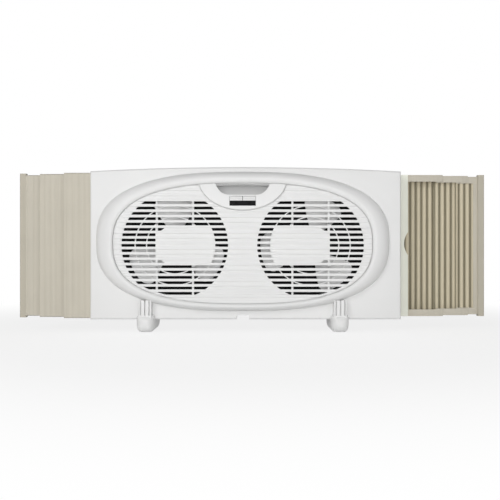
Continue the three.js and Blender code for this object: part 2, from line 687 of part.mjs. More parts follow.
function fans() {
  return [{ x: -FAN_OFFSET, outward: -1 }, { x: FAN_OFFSET, outward: 1 }];
}

// The upright ribs grow out of the slats; the rings pass behind the slats, on those ribs.
function grilleRibs(fan, depth, withRings) {
  const front = GRILLE_BACK + OVERLAP;
  const back = GRILLE_BACK - depth;
  const inset = LEDGE_WIDTH + RIB_END_GAP;
  const inLedge = grown(GRILLE_OVAL, -inset, -inset);
  const full = Math.sqrt(OPENING_RADIUS ** 2 - CROSS_RIB_OFFSET ** 2) + SLOT_HEIGHT / 2;
  const ribs = [-1, 1].map((side) => {
    const x = fan.x + side * CROSS_RIB_OFFSET;
    const rise = ovalRise(inLedge, Math.abs(x) + CROSS_RIB_WIDTH / 2);
    return block(x - CROSS_RIB_WIDTH / 2, x + CROSS_RIB_WIDTH / 2, -front, -back,
      -Math.min(full, rise - inLedge.lift), Math.min(full, rise + inLedge.lift));
  });
  const rings = withRings ? RING_RADII.map((radius) => ring(radius - RING_WIDTH / 2,
    radius + RING_WIDTH / 2, fan.x, 0, GRILLE_BACK - SEAT_GAP, back, RING_STEPS)) : [];
  return [...ribs, ...rings];
}

function bezelEllipse(extra) {
  const shape = new THREE.Shape();
  shape.absellipse(0, GRILLE_TOP + BEZEL_CENTRE, BEZEL_HALF_WIDTH + extra,
    BEZEL_DROP + extra, 0, 2 * Math.PI, false, 0);
  return new THREE.Shape(shape.getPoints(BEZEL_STEPS).slice(0, -1));
}

function frontGrille() {
  const slots = fans().flatMap(slotsOfFan);
  const bezelHole = frontPrism(bezelEllipse(SEAT_GAP), CREST_FRONT + BEYOND,
    GRILLE_BACK - BEYOND);
  const face = cut(grilleBlank(true), slots);
  const ribs = fans().flatMap((fan) => grilleRibs(fan, RIB_DEPTH, true));
  return joined([face, ...ribs]).subtract(bezelHole);
}

function rearGrille() {
  const slots = fans().flatMap(slotsOfFan);
  const ribs = fans().flatMap((fan) => grilleRibs(fan, LEDGE_THICKNESS, false));
  return joined([cut(grilleBlank(false), slots), ...ribs]);
}

// ---------------------------------------------------------------- handle and controls

// Hand recess: a straight top edge, hollow-curved sides and a short flat bottom.
function gripOutline(extra) {
  const top = GRILLE_TOP - SEAT_GAP - GRIP_TOP_LAND + extra;
  const bottom = top - GRIP_HEIGHT - 2 * extra;
  const wide = GRIP_TOP_HALF + extra;
  const narrow = GRIP_FLOOR_HALF + extra;
  const shape = new THREE.Shape();
  shape.moveTo(-wide, top);
  shape.quadraticCurveTo(-wide + (wide - narrow) / 3, bottom, -narrow, bottom);
  shape.lineTo(narrow, bottom);
  shape.quadraticCurveTo(wide - (wide - narrow) / 3, bottom, wide, top);
  return new THREE.Shape(shape.getPoints(GRIP_STEPS));
}

function controlBezel() {
  const oval = grown(GRILLE_OVAL, -SEAT_GAP, -SEAT_GAP);
  const inLedge = grown(GRILLE_OVAL, -LEDGE_WIDTH - SEAT_GAP, -LEDGE_WIDTH - SEAT_GAP);
  const ovalPrism = (size, front, back) => frontPrism(new THREE.Shape(ovalPoints(size)),
    front, back);
  const face = frontPrism(bezelEllipse(0), BEZEL_FRONT, GRILLE_BACK)
    .intersect(ovalPrism(oval, BEZEL_FRONT + PAST, GRILLE_BACK - PAST));
  const hollow = frontPrism(bezelEllipse(-BEZEL_WALL), BEZEL_FRONT - BEZEL_WALL,
    GRILLE_BACK - BEYOND)
    .intersect(ovalPrism(grown(oval, -BEZEL_WALL, -BEZEL_WALL), BEZEL_FRONT, GRILLE_BACK - BEYOND));
  const flange = frontPrism(bezelEllipse(LEDGE_WIDTH), GRILLE_BACK - SEAT_GAP, LEDGE_BACK)
    .intersect(ovalPrism(inLedge, GRILLE_BACK, LEDGE_BACK - PAST));
  const neck = frontPrism(bezelEllipse(-OVERLAP), GRILLE_BACK + OVERLAP, LEDGE_BACK)
    .intersect(ovalPrism(inLedge, GRILLE_BACK + PAST, LEDGE_BACK - PAST));
  const cup = frontPrism(gripOutline(GRIP_WALL), BEZEL_FRONT - BEZEL_WALL + OVERLAP,
    BEZEL_FRONT - GRIP_DEPTH - GRIP_WALL)
    .intersect(ovalPrism(inLedge, BEZEL_FRONT, BEZEL_FRONT - GRIP_DEPTH - BEYOND));
  const grip = frontPrism(gripOutline(0), BEZEL_FRONT + PAST, BEZEL_FRONT - GRIP_DEPTH)
    .intersect(joined([
      ovalPrism(oval, BEZEL_FRONT + 2 * PAST, GRILLE_BACK),
      ovalPrism(grown(inLedge, -GRIP_WALL, -GRIP_WALL), GRILLE_BACK + PAST, 0),
    ]));
  const control = frontBlock(0, CONTROL_WIDTH / 2, CONTROL_MIDDLE, CONTROL_HEIGHT / 2,
    BEZEL_FRONT + PAST, BEZEL_FRONT - 2 * BEZEL_WALL);
  const shell = joined([face, flange, neck]).subtract(hollow);
  return cut(shell.add(cup), [grip, control]);
}

// The black plate behind the control opening, with a slot for each slider's stem.
function switchPlate() {
  const halfWidth = CONTROL_WIDTH / 2 - SEAT_GAP;
  const halfHeight = CONTROL_HEIGHT / 2 - SEAT_GAP;
  const plate = frontBlock(0, halfWidth, CONTROL_MIDDLE, halfHeight, SWITCH_PLATE_FRONT,
    SWITCH_PLATE_BACK);
  const slots = [-1, 1].map((side) => frontBlock(side * SLIDER_OFFSET,
    STEM_SIZE / 2 + SLIDE_GAP, SLIDER_REST - SLIDER_TRAVEL / 2,
    (STEM_SIZE + SLIDER_TRAVEL) / 2 + SLIDE_GAP, SWITCH_PLATE_FRONT + PAST,
    SWITCH_PLATE_BACK - PAST));
  return cut(plate, slots);
}

// A slider knob with a finger ridge along its middle and a stem into the switch.
function slider(side) {
  const x = side * SLIDER_OFFSET;
  const back = SWITCH_PLATE_FRONT + SLIDE_GAP;
  const front = back + SLIDER_THICKNESS;
  const half = SLIDER_HEIGHT / 2;
  const ridge = half * SLIDER_RIDGE.share;
  const crest = front + SLIDER_RIDGE.rise;
  const section = outline([
    [-back, SLIDER_REST - half], [-back, SLIDER_REST + half],
    [-front, SLIDER_REST + half - SLIDER_SLOPE], [-front, SLIDER_REST + ridge],
    [-crest, SLIDER_REST + ridge / 2], [-crest, SLIDER_REST - ridge / 2],
    [-front, SLIDER_REST - ridge], [-front, SLIDER_REST - half + SLIDER_SLOPE],
  ]);
  const knob = sidePrism(section, x - SLIDER_WIDTH / 2, x + SLIDER_WIDTH / 2);
  const stem = frontBlock(x, STEM_SIZE / 2, SLIDER_REST, STEM_SIZE / 2, back + OVERLAP,
    SWITCH_PLATE_BACK - STEM_SIZE);
  return knob.add(stem);
}

function switchBody(side) {
  const x = side * SLIDER_OFFSET;
  const front = SWITCH_PLATE_BACK - SEAT_GAP;
  const back = front - SWITCH_BODY_DEPTH;
  const body = frontBlock(x, SWITCH_BODY_WIDTH / 2, CONTROL_MIDDLE, SWITCH_BODY_HEIGHT / 2,
    front, back);
  const well = frontBlock(x, STEM_SIZE / 2 + SLIDE_GAP, SLIDER_REST - SLIDER_TRAVEL / 2,
    (STEM_SIZE + SLIDER_TRAVEL) / 2 + SLIDE_GAP, front + PAST,
    SWITCH_PLATE_BACK - STEM_SIZE - SLIDE_GAP);
  const terminals = [-1, 0, 1].map((row) => frontBlock(x, TERMINAL.width / 2,
    CONTROL_MIDDLE + TERMINAL.pitch * row, TERMINAL.thickness / 2, back + OVERLAP,
    back - TERMINAL.length));
  return joined([body.subtract(well), ...terminals]);
}

// ---------------------------------------------------------------- fans

// Cross-sections of one blade from root to tip: a thin helical strip, widest beyond its
// middle, with its tip corners rounded off.
function blade(middleAngle) {
  const root = HUB_RADIUS - HUB_WALL / 2;
  const rings = [];
  for (let i = 0; i <= BLADE_ROWS.radial; i += 1) {
    const share = 1 - (1 - i / BLADE_ROWS.radial) ** BLADE_ROWS.gather;
    const radius = root + (BLADE_RADIUS - root) * share;
    const rootTaper = 1 - BLADE_ROOT_NARROWING * (1 - Math.min(share / BLADE_WIDEST, 1)) ** 2;
    const pastStart = Math.max(share - BLADE_TIP_ROUND_START, 0) / (1 - BLADE_TIP_ROUND_START);
    const tipRound = Math.sqrt(1 - BLADE_TIP_ROUND * pastStart ** 2);
    const span = THREE.MathUtils.degToRad(BLADE_SPAN) * rootTaper * tipRound;
    const rise = BLADE_RISE * (1 - (1 - BLADE_TIP_TAPER) * share) - BLADE_THICKNESS;
    const upper = [];
    const lower = [];
    for (let j = 0; j <= BLADE_ROWS.chord; j += 1) {
      const across = j / BLADE_ROWS.chord - 0.5;
      const angle = THREE.MathUtils.degToRad(middleAngle) + across * span;
      const camber = BLADE_CAMBER * rise * (1 - 4 * across ** 2);
      const middle = BLADE_FRONT - BLADE_RISE / 2 + across * rise + camber;
      const x = radius * Math.cos(angle);
      const z = radius * Math.sin(angle);
      const half = (BLADE_THICKNESS / 2) * (Math.abs(across) === 0.5 ? BLADE_EDGE_SHARE : 1);
      upper.push(new THREE.Vector3(x, -middle - half, z));
      lower.unshift(new THREE.Vector3(x, -middle + half, z));
    }
    rings.push([...upper, ...lower]);
  }
  return lofted(rings, false);
}

function rotor(firstAngle) {
  const front = HUB_FRONT;
  const back = front - HUB_DEPTH;
  const bore = SHAFT_RADIUS + SEAT_GAP;
  const hub = turned([
    [bore, front - CLIP_THICKNESS], [HUB_BOSS_RADIUS, front - CLIP_THICKNESS],
    [HUB_BOSS_RADIUS + HUB_BOSS_FLARE, front], [HUB_RADIUS - HUB_CHAMFER.across, front],
    [HUB_RADIUS, front - HUB_CHAMFER.deep],
    [HUB_RADIUS, back], [HUB_RADIUS - HUB_WALL, back],
    [HUB_RADIUS - HUB_WALL, front - CLIP_THICKNESS - HUB_WALL],
    [HUB_BOSS_RADIUS, front - CLIP_THICKNESS - HUB_WALL],
    [HUB_BOSS_RADIUS, back + HUB_BOSS_SHORTER], [bore, back + HUB_BOSS_SHORTER],
    [bore, front - CLIP_THICKNESS],
  ], 0, 0, HUB_STEPS);
  const blades = [];
  for (let i = 0; i < BLADE_COUNT; i += 1) blades.push(blade(firstAngle + (360 / BLADE_COUNT) * i));
  return joined([hub, ...blades]);
}

function shaft() {
  const front = HUB_FRONT - SLIDE_GAP;
  return disc(SHAFT_RADIUS, 0, 0, front, BELL_BACK - SHAFT_PAST_BELL, SHAFT_STEPS);
}

// Push-on retaining clip in the dished front of the hub.
function hubClip() {
  const front = HUB_FRONT - SLIDE_GAP;
  return ring(SHAFT_RADIUS + SEAT_GAP, CLIP_RADIUS, 0, 0, front,
    front - CLIP_THICKNESS + SLIDE_GAP + SEAT_GAP, SHORT_STEPS);
}

// ---------------------------------------------------------------- baffle, motors, screen

function throat(fan) {
  const back = BAFFLE_BACK;
  const front = GRILLE_BACK - RIB_DEPTH - SEAT_GAP;
  return turned([
    [THROAT_RADIUS + THROAT_FLARE, front], [THROAT_RADIUS + THROAT_FLARE + THROAT_WALL, front],
    [THROAT_RADIUS + THROAT_WALL, front - 2 * THROAT_FLARE], [THROAT_RADIUS + THROAT_WALL, back],
    [THROAT_RADIUS, back], [THROAT_RADIUS, front - 2 * THROAT_FLARE],
    [THROAT_RADIUS + THROAT_FLARE, front],
  ], fan.x, 0, THROAT_STEPS);
}

function spider(fan) {
  const front = BAFFLE_FRONT;
  const back = BAFFLE_FRONT - SPOKE_DEPTH;
  const reach = (THROAT_RADIUS + THROAT_WALL / 2 + MOTOR_BELL_RADIUS) / 2;
  const spokes = [];
  for (let i = 0; i < SPOKE_COUNT; i += 1) {
    const bar = new THREE.BoxGeometry(2 * (reach - MOTOR_BELL_RADIUS), SPOKE_DEPTH, SPOKE_WIDTH);
    bar.translate(reach, -(front + back) / 2, 0);
    bar.rotateY(Math.PI / 2 + (2 * Math.PI * i) / SPOKE_COUNT);
    bar.translate(fan.x, 0, 0);
    spokes.push(solidOf(bar));
  }
  const seat = disc(MOTOR_RADIUS, fan.x, 0, front - SPOKE_DEPTH / 2, back, HUB_STEPS);
  const bellHole = disc(BUSHING_RADIUS + WALL + SEAT_GAP, fan.x, 0, front + PAST, back - PAST,
    BELL_HOLE_STEPS);
  const screwHoles = motorScrewPlaces(fan).map(({ x, z }) => disc(SCREW_RADIUS + SCREW_PLAY,
    x, z, front + PAST, back - PAST));
  return cut(joined([seat, ...spokes]), [bellHole, ...screwHoles]);
}

function baffle() {
  const halfHeight = HALF_HEIGHT - WALL - SEAT_GAP;
  const plate = frontBlock(0, BAFFLE_HALF_WIDTH, 0, halfHeight, BAFFLE_FRONT, BAFFLE_BACK);
  const openings = fans().map((fan) => disc(THROAT_RADIUS + THROAT_WALL / 2, fan.x, 0,
    BAFFLE_FRONT + PAST, BAFFLE_BACK - PAST, THROAT_STEPS));
  const bossHoles = screwPlaces().map(({ x, z }) => disc(BOSS_RADIUS + SEAT_GAP, x, z,
    BAFFLE_FRONT + PAST, BAFFLE_BACK - PAST));
  const tunnelHole = frontBlock(0, CORD_NOTCH_WIDTH / 2 + WALL + SEAT_GAP, -HALF_HEIGHT,
    CORD_NOTCH_HEIGHT + WALL + SEAT_GAP, BAFFLE_FRONT + PAST, BAFFLE_BACK - PAST);
  const drilled = cut(plate, [...openings, ...bossHoles, tunnelHole]);
  return joined([drilled, ...fans().map(throat), ...fans().map(spider)]);
}

function motorScrewPlaces(fan) {
  return [-1, 1].map((side) => ({ x: fan.x + side * MOTOR_SCREW_OFFSET, z: 0 }));
}

// Motor with a stepped can, a bell at each end and a bore for the two bushings.
function motor() {
  const bore = BUSHING_RADIUS + SEAT_GAP;
  const neck = BUSHING_RADIUS + WALL;
  const can = turned([
    [bore, MOTOR_FRONT + SPOKE_DEPTH], [neck, MOTOR_FRONT + SPOKE_DEPTH], [neck, MOTOR_FRONT],
    [MOTOR_RADIUS, MOTOR_FRONT], [MOTOR_RADIUS, MOTOR_BACK],
    [MOTOR_BELL_RADIUS, BELL_BACK], [bore, BELL_BACK], [bore, MOTOR_FRONT + SPOKE_DEPTH],
  ], 0, 0, HUB_STEPS);
  const screwBores = motorScrewPlaces({ x: 0 }).map(({ x, z }) => disc(
    SCREW_RADIUS + SCREW_PLAY, x, z, MOTOR_FRONT + PAST, MOTOR_FRONT - 3 * SCREW_HEAD_RADIUS,
  ));
  return cut(can, screwBores);
}

function bushing(front) {
  return ring(SHAFT_RADIUS + SEAT_GAP, BUSHING_RADIUS, 0, 0, front, front - BUSHING_LENGTH,
    SHAFT_STEPS);
}

function panHeadScrew(headBack, length) {
  return turned([
    [0, headBack + SCREW_HEAD_HEIGHT],
    [SCREW_HEAD_RADIUS - SCREW_HEAD_ROUND, headBack + SCREW_HEAD_HEIGHT],
    [SCREW_HEAD_RADIUS, headBack], [SCREW_RADIUS, headBack], [SCREW_RADIUS, headBack - length],
    [0, headBack - length],
  ], 0, 0, SHORT_STEPS);
}

function capacitor() {
  const { round } = CAPACITOR;
  const across = CAPACITOR.width / 2 - round;
  const up = CAPACITOR.height / 2 - round;
  const shape = new THREE.Shape();
  shape.moveTo(-across, -up - round);
  shape.lineTo(across, -up - round);
  shape.absarc(across, -up, round, -Math.PI / 2, 0);
  shape.absarc(across, up, round, 0, Math.PI / 2);
  shape.absarc(-across, up, round, Math.PI / 2, Math.PI);
  shape.absarc(-across, -up, round, Math.PI, 1.5 * Math.PI);
  const front = BAFFLE_BACK - SEAT_GAP;
  return frontPrism(new THREE.Shape(shape.getPoints(CORNER_STEPS)), front, front - CAPACITOR.depth);
}

function insectScreen() {
  const oval = grown(GRILLE_OVAL, RIM_WALL - SEAT_GAP * 2, RIM_WALL - SEAT_GAP * 2);
  const front = LEDGE_BACK - SEAT_GAP;
  return frontPrism(new THREE.Shape(ovalPoints(oval)), front, front - SCREEN_THICKNESS);
}

function cordInlet() {
  const front = PLATE_HALF_DEPTH + SEAT_GAP;
  const back = PLATE_HALF_DEPTH - WALL - SEAT_GAP;
  const nose = front + CORD_BUSH_NOSE.deep;
  const catchRadius = CORD_BUSH_FLANGE - CORD_BUSH_CATCH.across;
  const catchBack = back - CORD_BUSH_CATCH.deep;
  return turned([
    [CORD_RADIUS, nose], [CORD_BUSH_RADIUS - CORD_BUSH_NOSE.across, nose], [CORD_BUSH_FLANGE, front],
    [CORD_BUSH_RADIUS, front], [CORD_BUSH_RADIUS, back], [catchRadius, back],
    [catchRadius, catchBack], [CORD_RADIUS, catchBack], [CORD_RADIUS, nose],
  ], LONG_END - CORD_INLET_FROM_END, CORD_INLET_FROM_EDGE - HALF_HEIGHT, SHORT_STEPS);
}

// ---------------------------------------------------------------- filler panels

// Guide: the wall behind the leaves, with its inner end turned forward to close the pocket
// off from the fans and a finger notch in its outer edge.
function panelGuide() {
  const halfHeight = HALF_HEIGHT - WALL - SEAT_GAP;
  const wallFront = PLATE_HALF_DEPTH - WALL - SEAT_GAP;
  const section = outline([
    [-GUIDE_END, -GUIDE_FRONT], [-GUIDE_START - GUIDE_WALL, -GUIDE_FRONT],
    [-GUIDE_START - GUIDE_WALL, -wallFront], [-GUIDE_START, -wallFront],
    [-GUIDE_START, -GUIDE_BACK], [-GUIDE_END, -GUIDE_BACK],
  ]);
  const half = FINGER_NOTCH_HEIGHT / 2;
  const radius = (half ** 2 + FINGER_NOTCH_DEPTH ** 2) / (2 * FINGER_NOTCH_DEPTH);
  const notch = disc(radius, -GUIDE_END - radius + FINGER_NOTCH_DEPTH, FINGER_NOTCH_RISE,
    GUIDE_FRONT + PAST, GUIDE_BACK - PAST, NOTCH_STEPS);
  return uprightPrism(section, -halfHeight, halfHeight).subtract(notch);
}

function leafHalfHeight(n) {
  return LEAF_HALF_HEIGHT - n * LEAF_HEIGHT_STEP;
}

// Face and ribs of a leaf as one comb-shaped section; x runs from the outer edge inward.
function leafComb(n, from) {
  const width = LEAF_WIDTHS[n];
  const front = LEAF_OUTER_FRONT - n * LEAF_STEP;
  const faceBack = front - LEAF_WALL;
  const ribBack = faceBack - LEAF_RIB_DEPTH;
  const points = [[width, -front], [from, -front], [from, -faceBack]];
  const room = width - from;
  const count = Math.floor(room / LEAF_RIB_PITCH);
  for (let i = 0; i < count; i += 1) {
    const middle = from + (i + 0.5) * (room / count);
    const half = LEAF_RIB_WIDTH / 2;
    points.push([middle - half, -faceBack], [middle - half + LEAF_RIB_DRAFT, -ribBack]);
    points.push([middle + half - LEAF_RIB_DRAFT, -ribBack], [middle + half, -faceBack]);
  }
  points.push([width, -faceBack]);
  return outline(points);
}

// Top and bottom rail of a leaf: the wall that bends back from the face and its lip.
function leafRail(n, side, from) {
  const width = LEAF_WIDTHS[n];
  const front = LEAF_OUTER_FRONT - n * LEAF_STEP;
  const back = LEAF_OUTER_BACK + n * LEAF_LIP_STEP;
  const lipFront = back + LEAF_LIP_THICKNESS;
  const top = leafHalfHeight(n);
  const section = outline([
    [-front, side * (top - LEAF_WALL)], [-front, side * top], [-back, side * top],
    [-back, side * (top - LEAF_LIP_HEIGHT)], [-lipFront, side * (top - LEAF_LIP_HEIGHT)],
    [-lipFront, side * (top - LEAF_WALL)],
  ]);
  return sidePrism(section, from, width);
}

function fillerLeaf(n) {
  const half = leafHalfHeight(n);
  const comb = uprightPrism(leafComb(n, 0), -half + OVERLAP, half - OVERLAP);
  return joined([comb, leafRail(n, 1, 0), leafRail(n, -1, 0)]);
}

// The last leaf carries the stile: a hollow upright as tall as the largest leaf, with a wide
// lip on its ribbed side.
function stileLeaf() {
  const n = 2;
  const from = STILE_WIDTH - STILE_WALL;
  const half = leafHalfHeight(n);
  const comb = uprightPrism(leafComb(n, from), -half + OVERLAP, half - OVERLAP);
  const tray = joined([comb, leafRail(n, 1, from), leafRail(n, -1, from)]);
  const back = LEAF_OUTER_BACK + n * LEAF_LIP_STEP;
  const lip = block(from, STILE_LIP_WIDTH, -back - LEAF_LIP_THICKNESS, -back,
    -half + OVERLAP, half - OVERLAP);

  const front = LEAF_OUTER_FRONT - n * LEAF_STEP;
  const shape = new THREE.Shape();
  shape.moveTo(STILE_WIDTH, -front);
  shape.lineTo(STILE_WIDTH, -LEAF_OUTER_BACK);
  shape.lineTo(STILE_ROUND, -LEAF_OUTER_BACK);
  shape.absarc(STILE_ROUND, -LEAF_OUTER_BACK - STILE_ROUND, STILE_ROUND, Math.PI / 2, Math.PI);
  shape.absarc(STILE_ROUND, -front + STILE_ROUND, STILE_ROUND, Math.PI, 1.5 * Math.PI);
  const post = uprightPrism(new THREE.Shape(shape.getPoints(STILE_STEPS)), -LEAF_HALF_HEIGHT,
    LEAF_HALF_HEIGHT);
  const core = block(STILE_WALL, STILE_WIDTH - STILE_WALL, -front + STILE_WALL,
    -LEAF_OUTER_BACK - STILE_WALL, -LEAF_HALF_HEIGHT + STILE_WALL, LEAF_HALF_HEIGHT - STILE_WALL);
  const inner = half - LEAF_WALL;
  const mouth = block(STILE_WALL + PAST, STILE_WIDTH + PAST, -front + LEAF_WALL,
    -back - LEAF_LIP_THICKNESS, -inner, inner);
  return joined([cut(post, [core, mouth]), tray, lip]);
}

function leaf(n) {
  return n === 2 ? stileLeaf() : fillerLeaf(n);
}

// ---------------------------------------------------------------- feet

// U-shaped outline of the foot in the front view, with a flat sole and a rounded toe top.
function footOutline(top, roundTop) {
  const half = FOOT_WIDTH / 2;
  const sole = -AXIS_HEIGHT;
  const cheek = sole + half;
  const shape = new THREE.Shape();
  shape.moveTo(-SOLE_WIDTH / 2, sole);
  shape.lineTo(SOLE_WIDTH / 2, sole);
  shape.quadraticCurveTo(half, sole, half, cheek);
  if (roundTop) {
    shape.lineTo(half, sole + top - half / 2);
    shape.quadraticCurveTo(half, sole + top, 0, sole + top);
    shape.quadraticCurveTo(-half, sole + top, -half, sole + top - half / 2);
  } else {
    shape.lineTo(half, sole + top);
    shape.lineTo(-half, sole + top);
  }
  shape.lineTo(-half, cheek);
  shape.quadraticCurveTo(-half, sole, -SOLE_WIDTH / 2, sole);
  return new THREE.Shape(shape.getPoints(CORNER_STEPS));
}

// Toe and stem on one face of the housing.
function footUpright() {
  const back = PLATE_HALF_DEPTH + SLIDE_GAP;
  const toeGeometry = extruded(footOutline(TOE_HEIGHT, true), FOOT_TOE - TOE_ROUND,
    roundEdges(TOE_ROUND));
  toeGeometry.rotateX(Math.PI / 2);
  toeGeometry.translate(0, -back, 0);
  const toeBehind = block(-FOOT_WIDTH, FOOT_WIDTH, -back, BEYOND,
    -2 * AXIS_HEIGHT, 0);
  const toe = solidOf(toeGeometry).subtract(toeBehind);

  const inner = FOOT_OFFSET - STEM_WIDTH / 2;
  const skirtFoot = SKIRT_OVAL.lift - ovalRise(SKIRT_OVAL, inner) - SLIDE_GAP;
  const bottom = FOOT_DROP - AXIS_HEIGHT;
  const top = skirtFoot + STEM_THICKNESS / STEM_TOP_SLOPE;
  const front = back + STEM_THICKNESS;
  const section = outline([
    [-back, bottom], [-back, skirtFoot], [-front, top], [-front, bottom],
  ]);
  const stem = sidePrism(section, -STEM_WIDTH / 2, STEM_WIDTH / 2);
  const grooves = [];
  for (let i = 0; i < STEM_GROOVES; i += 1) {
    const x = STEM_WIDTH * ((i + 0.5) / STEM_GROOVES - 0.5);
    grooves.push(block(x - STEM_GROOVE_WIDTH / 2, x + STEM_GROOVE_WIDTH / 2, -front - PAST,
      -front + STEM_GROOVE_DEPTH, TOE_HEIGHT - AXIS_HEIGHT - STEM_GROOVE_SUNK, top + PAST));
  }
  return cut(stem, grooves).add(toe);
}

function foot() {
  const reach = PLATE_HALF_DEPTH + SLIDE_GAP + OVERLAP;
  const bar = frontPrism(footOutline(FOOT_DROP - SEAT_GAP, false), reach, -reach);
  const front = footUpright();
  const rear = solidOf(turnedGeometry(front));
  return joined([bar, front, rear]);
}

function turnedGeometry(solid) {
  const geometry = meshOf('', solid, undefined).geometry;
  geometry.rotateZ(Math.PI);
  return geometry;
}

// ---------------------------------------------------------------- assembly

const fan = new THREE.Group();

function place(mesh, x = 0, y = 0, z = 0) {
  mesh.position.set(x, y, z);
  fan.add(mesh);
}

place(meshOf('front_shell', halfShell(false), WHITE_PLASTIC));
place(turnedToRear(meshOf('rear_shell', halfShell(true), WHITE_PLASTIC)));
place(meshOf('front_grille', frontGrille(), WHITE_PLASTIC));
place(turnedToRear(meshOf('rear_grille', rearGrille(), WHITE_PLASTIC)));
place(turnedToRear(meshOf('insect_screen', insectScreen(), SCREEN_MESH)));
place(meshOf('control_bezel', controlBezel(), WHITE_PLASTIC));
place(meshOf('switch_plate', switchPlate(), BLACK_PLASTIC));
place(meshOf('speed_slider', slider(-1), WHITE_PLASTIC));
place(meshOf('direction_slider', slider(1), WHITE_PLASTIC));
place(meshOf('speed_switch', switchBody(-1), BLACK_PLASTIC));
place(meshOf('direction_switch', switchBody(1), BLACK_PLASTIC));
place(meshOf('fan_baffle', baffle(), CHARCOAL_PLASTIC));
place(meshOf('motor_capacitor', capacitor(), BLACK_PLASTIC));
place(turnedToRear(meshOf('cord_inlet', cordInlet(), BLACK_PLASTIC)));

function addFan(side, x, bladeAngle) {
  place(meshOf(`${side}_rotor`, rotor(bladeAngle), BLADE_PLASTIC), x);
  place(meshOf(`${side}_shaft`, shaft(), STEEL), x);
  place(meshOf(`${side}_hub_clip`, hubClip(), STEEL), x);
  place(meshOf(`${side}_motor`, motor(), MOTOR_STEEL), x);
  place(meshOf(`${side}_front_bushing`, bushing(MOTOR_FRONT + SPOKE_DEPTH - BUSHING_SUNK), BRONZE), x);
  place(meshOf(`${side}_rear_bushing`,
    bushing(BELL_BACK + BUSHING_LENGTH + BUSHING_SUNK), BRONZE), x);
  motorScrewPlaces({ x: 0 }).forEach((spot, i) => {
    const screw = panHeadScrew(BAFFLE_FRONT - SPOKE_DEPTH / 2 + SEAT_GAP, SPOKE_DEPTH);
    place(meshOf(`${side}_motor_screw_${i + 1}`, screw, STEEL), x + spot.x, 0, spot.z);
  });
}

addFan('left', -FAN_OFFSET, LEFT_BLADE_ANGLE);
addFan('right', FAN_OFFSET, RIGHT_BLADE_ANGLE);

screwPlaces().forEach(({ x, z }, i) => {
  const headBack = PLATE_HALF_DEPTH - 2 * SCREW_HEAD_HEIGHT + SEAT_GAP;
  const length = headBack + PLATE_HALF_DEPTH * HOUSING_SCREW_BITE;
  const screw = meshOf(`housing_screw_${i + 1}`, panHeadScrew(headBack, length), STEEL);
  place(turnedToRear(screw), x, 0, z);
});

place(meshOf('left_panel_guide', panelGuide(), CREAM_PLASTIC));
place(turnedToRear(meshOf('right_panel_guide', panelGuide(), CREAM_PLASTIC)));

const LEAF_NAMES = ['inner', 'middle', 'outer'];
LEAF_NAMES.forEach((name, n) => {
  place(meshOf(`left_panel_${name}_leaf`, leaf(n), BEIGE_PLASTIC), -LEFT_LEAF_EDGES[n]);
  place(turnedToRear(meshOf(`right_panel_${name}_leaf`, leaf(n), BEIGE_PLASTIC)),
    RIGHT_LEAF_EDGES[n]);
});

place(meshOf('left_foot', foot(), WHITE_PLASTIC), -FOOT_OFFSET);
place(meshOf('right_foot', foot(), WHITE_PLASTIC), FOOT_OFFSET);

fan.position.set((LEFT_LEAF_EDGES[2] - RIGHT_LEAF_EDGES[2]) / 2, 0, AXIS_HEIGHT);

export default fan;
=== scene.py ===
"""Looks of a twin window fan with sliding filler panels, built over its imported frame."""

import json
import math
from collections import namedtuple

import bpy
from bpy.props import FloatProperty, FloatVectorProperty, IntProperty, PointerProperty
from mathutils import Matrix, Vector


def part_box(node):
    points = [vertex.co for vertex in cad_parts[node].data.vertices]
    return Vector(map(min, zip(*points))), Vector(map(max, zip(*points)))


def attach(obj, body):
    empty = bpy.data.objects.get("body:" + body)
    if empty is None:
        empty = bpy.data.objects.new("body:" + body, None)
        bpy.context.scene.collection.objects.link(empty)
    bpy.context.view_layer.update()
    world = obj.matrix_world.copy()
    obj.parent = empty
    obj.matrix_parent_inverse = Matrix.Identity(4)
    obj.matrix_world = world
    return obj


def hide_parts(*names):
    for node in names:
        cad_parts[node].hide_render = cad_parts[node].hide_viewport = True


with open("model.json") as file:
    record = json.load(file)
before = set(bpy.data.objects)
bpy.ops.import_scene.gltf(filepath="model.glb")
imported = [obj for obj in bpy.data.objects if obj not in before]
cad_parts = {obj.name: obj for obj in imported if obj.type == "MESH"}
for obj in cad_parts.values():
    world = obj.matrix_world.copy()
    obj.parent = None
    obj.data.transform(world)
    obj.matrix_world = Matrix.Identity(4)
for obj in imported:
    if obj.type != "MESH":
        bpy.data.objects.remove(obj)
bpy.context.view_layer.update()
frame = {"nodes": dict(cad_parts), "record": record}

bl_info = {
    "name": "Window fan",
    "version": (1, 0, 0),
    "blender": (4, 5, 0),
    "location": "3D View > Sidebar > Window Fan",
    "description": "Builds the visible pieces of a twin window fan and its studio",
    "category": "Object",
}

MM = 0.001
SEAT_GAP = 0.3 * MM  # between pieces that rest on each other
SLIDE_GAP = 0.4 * MM  # between pieces that slide on each other
OVERLAP = 0.4 * MM  # how far pieces that are joined reach into each other
BEYOND = 10 * MM  # how far a cutting shape runs past what it cuts
PAST = 1 * MM  # the same, where there is less room
WELD = 1e-6  # points closer than this become one
LEVEL = 1e-5  # points closer than this to a depth lie at it
OVAL_STEPS = 192
ROUND_STEPS = 72  # round the hubs and rings
BORE_STEPS = 24  # round the screw wells and the cord inlet
LOWEST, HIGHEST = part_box("fan_baffle")
# The middle of the oval grille; every shape is drawn about it
MIDDLE = Vector(((LOWEST.x + HIGHEST.x) / 2, 0, (LOWEST.z + HIGHEST.z) / 2))


# ---------------------------------------------------------------- sizes and colours


def length(name, description, millimetres):
    return FloatProperty(
        name=name, description=description, default=millimetres * MM, unit="LENGTH", precision=4
    )


def colour(name, description, red, green, blue):
    return FloatVectorProperty(
        name=name, description=description, default=(red, green, blue), subtype="COLOR",
        min=0, max=1,
    )


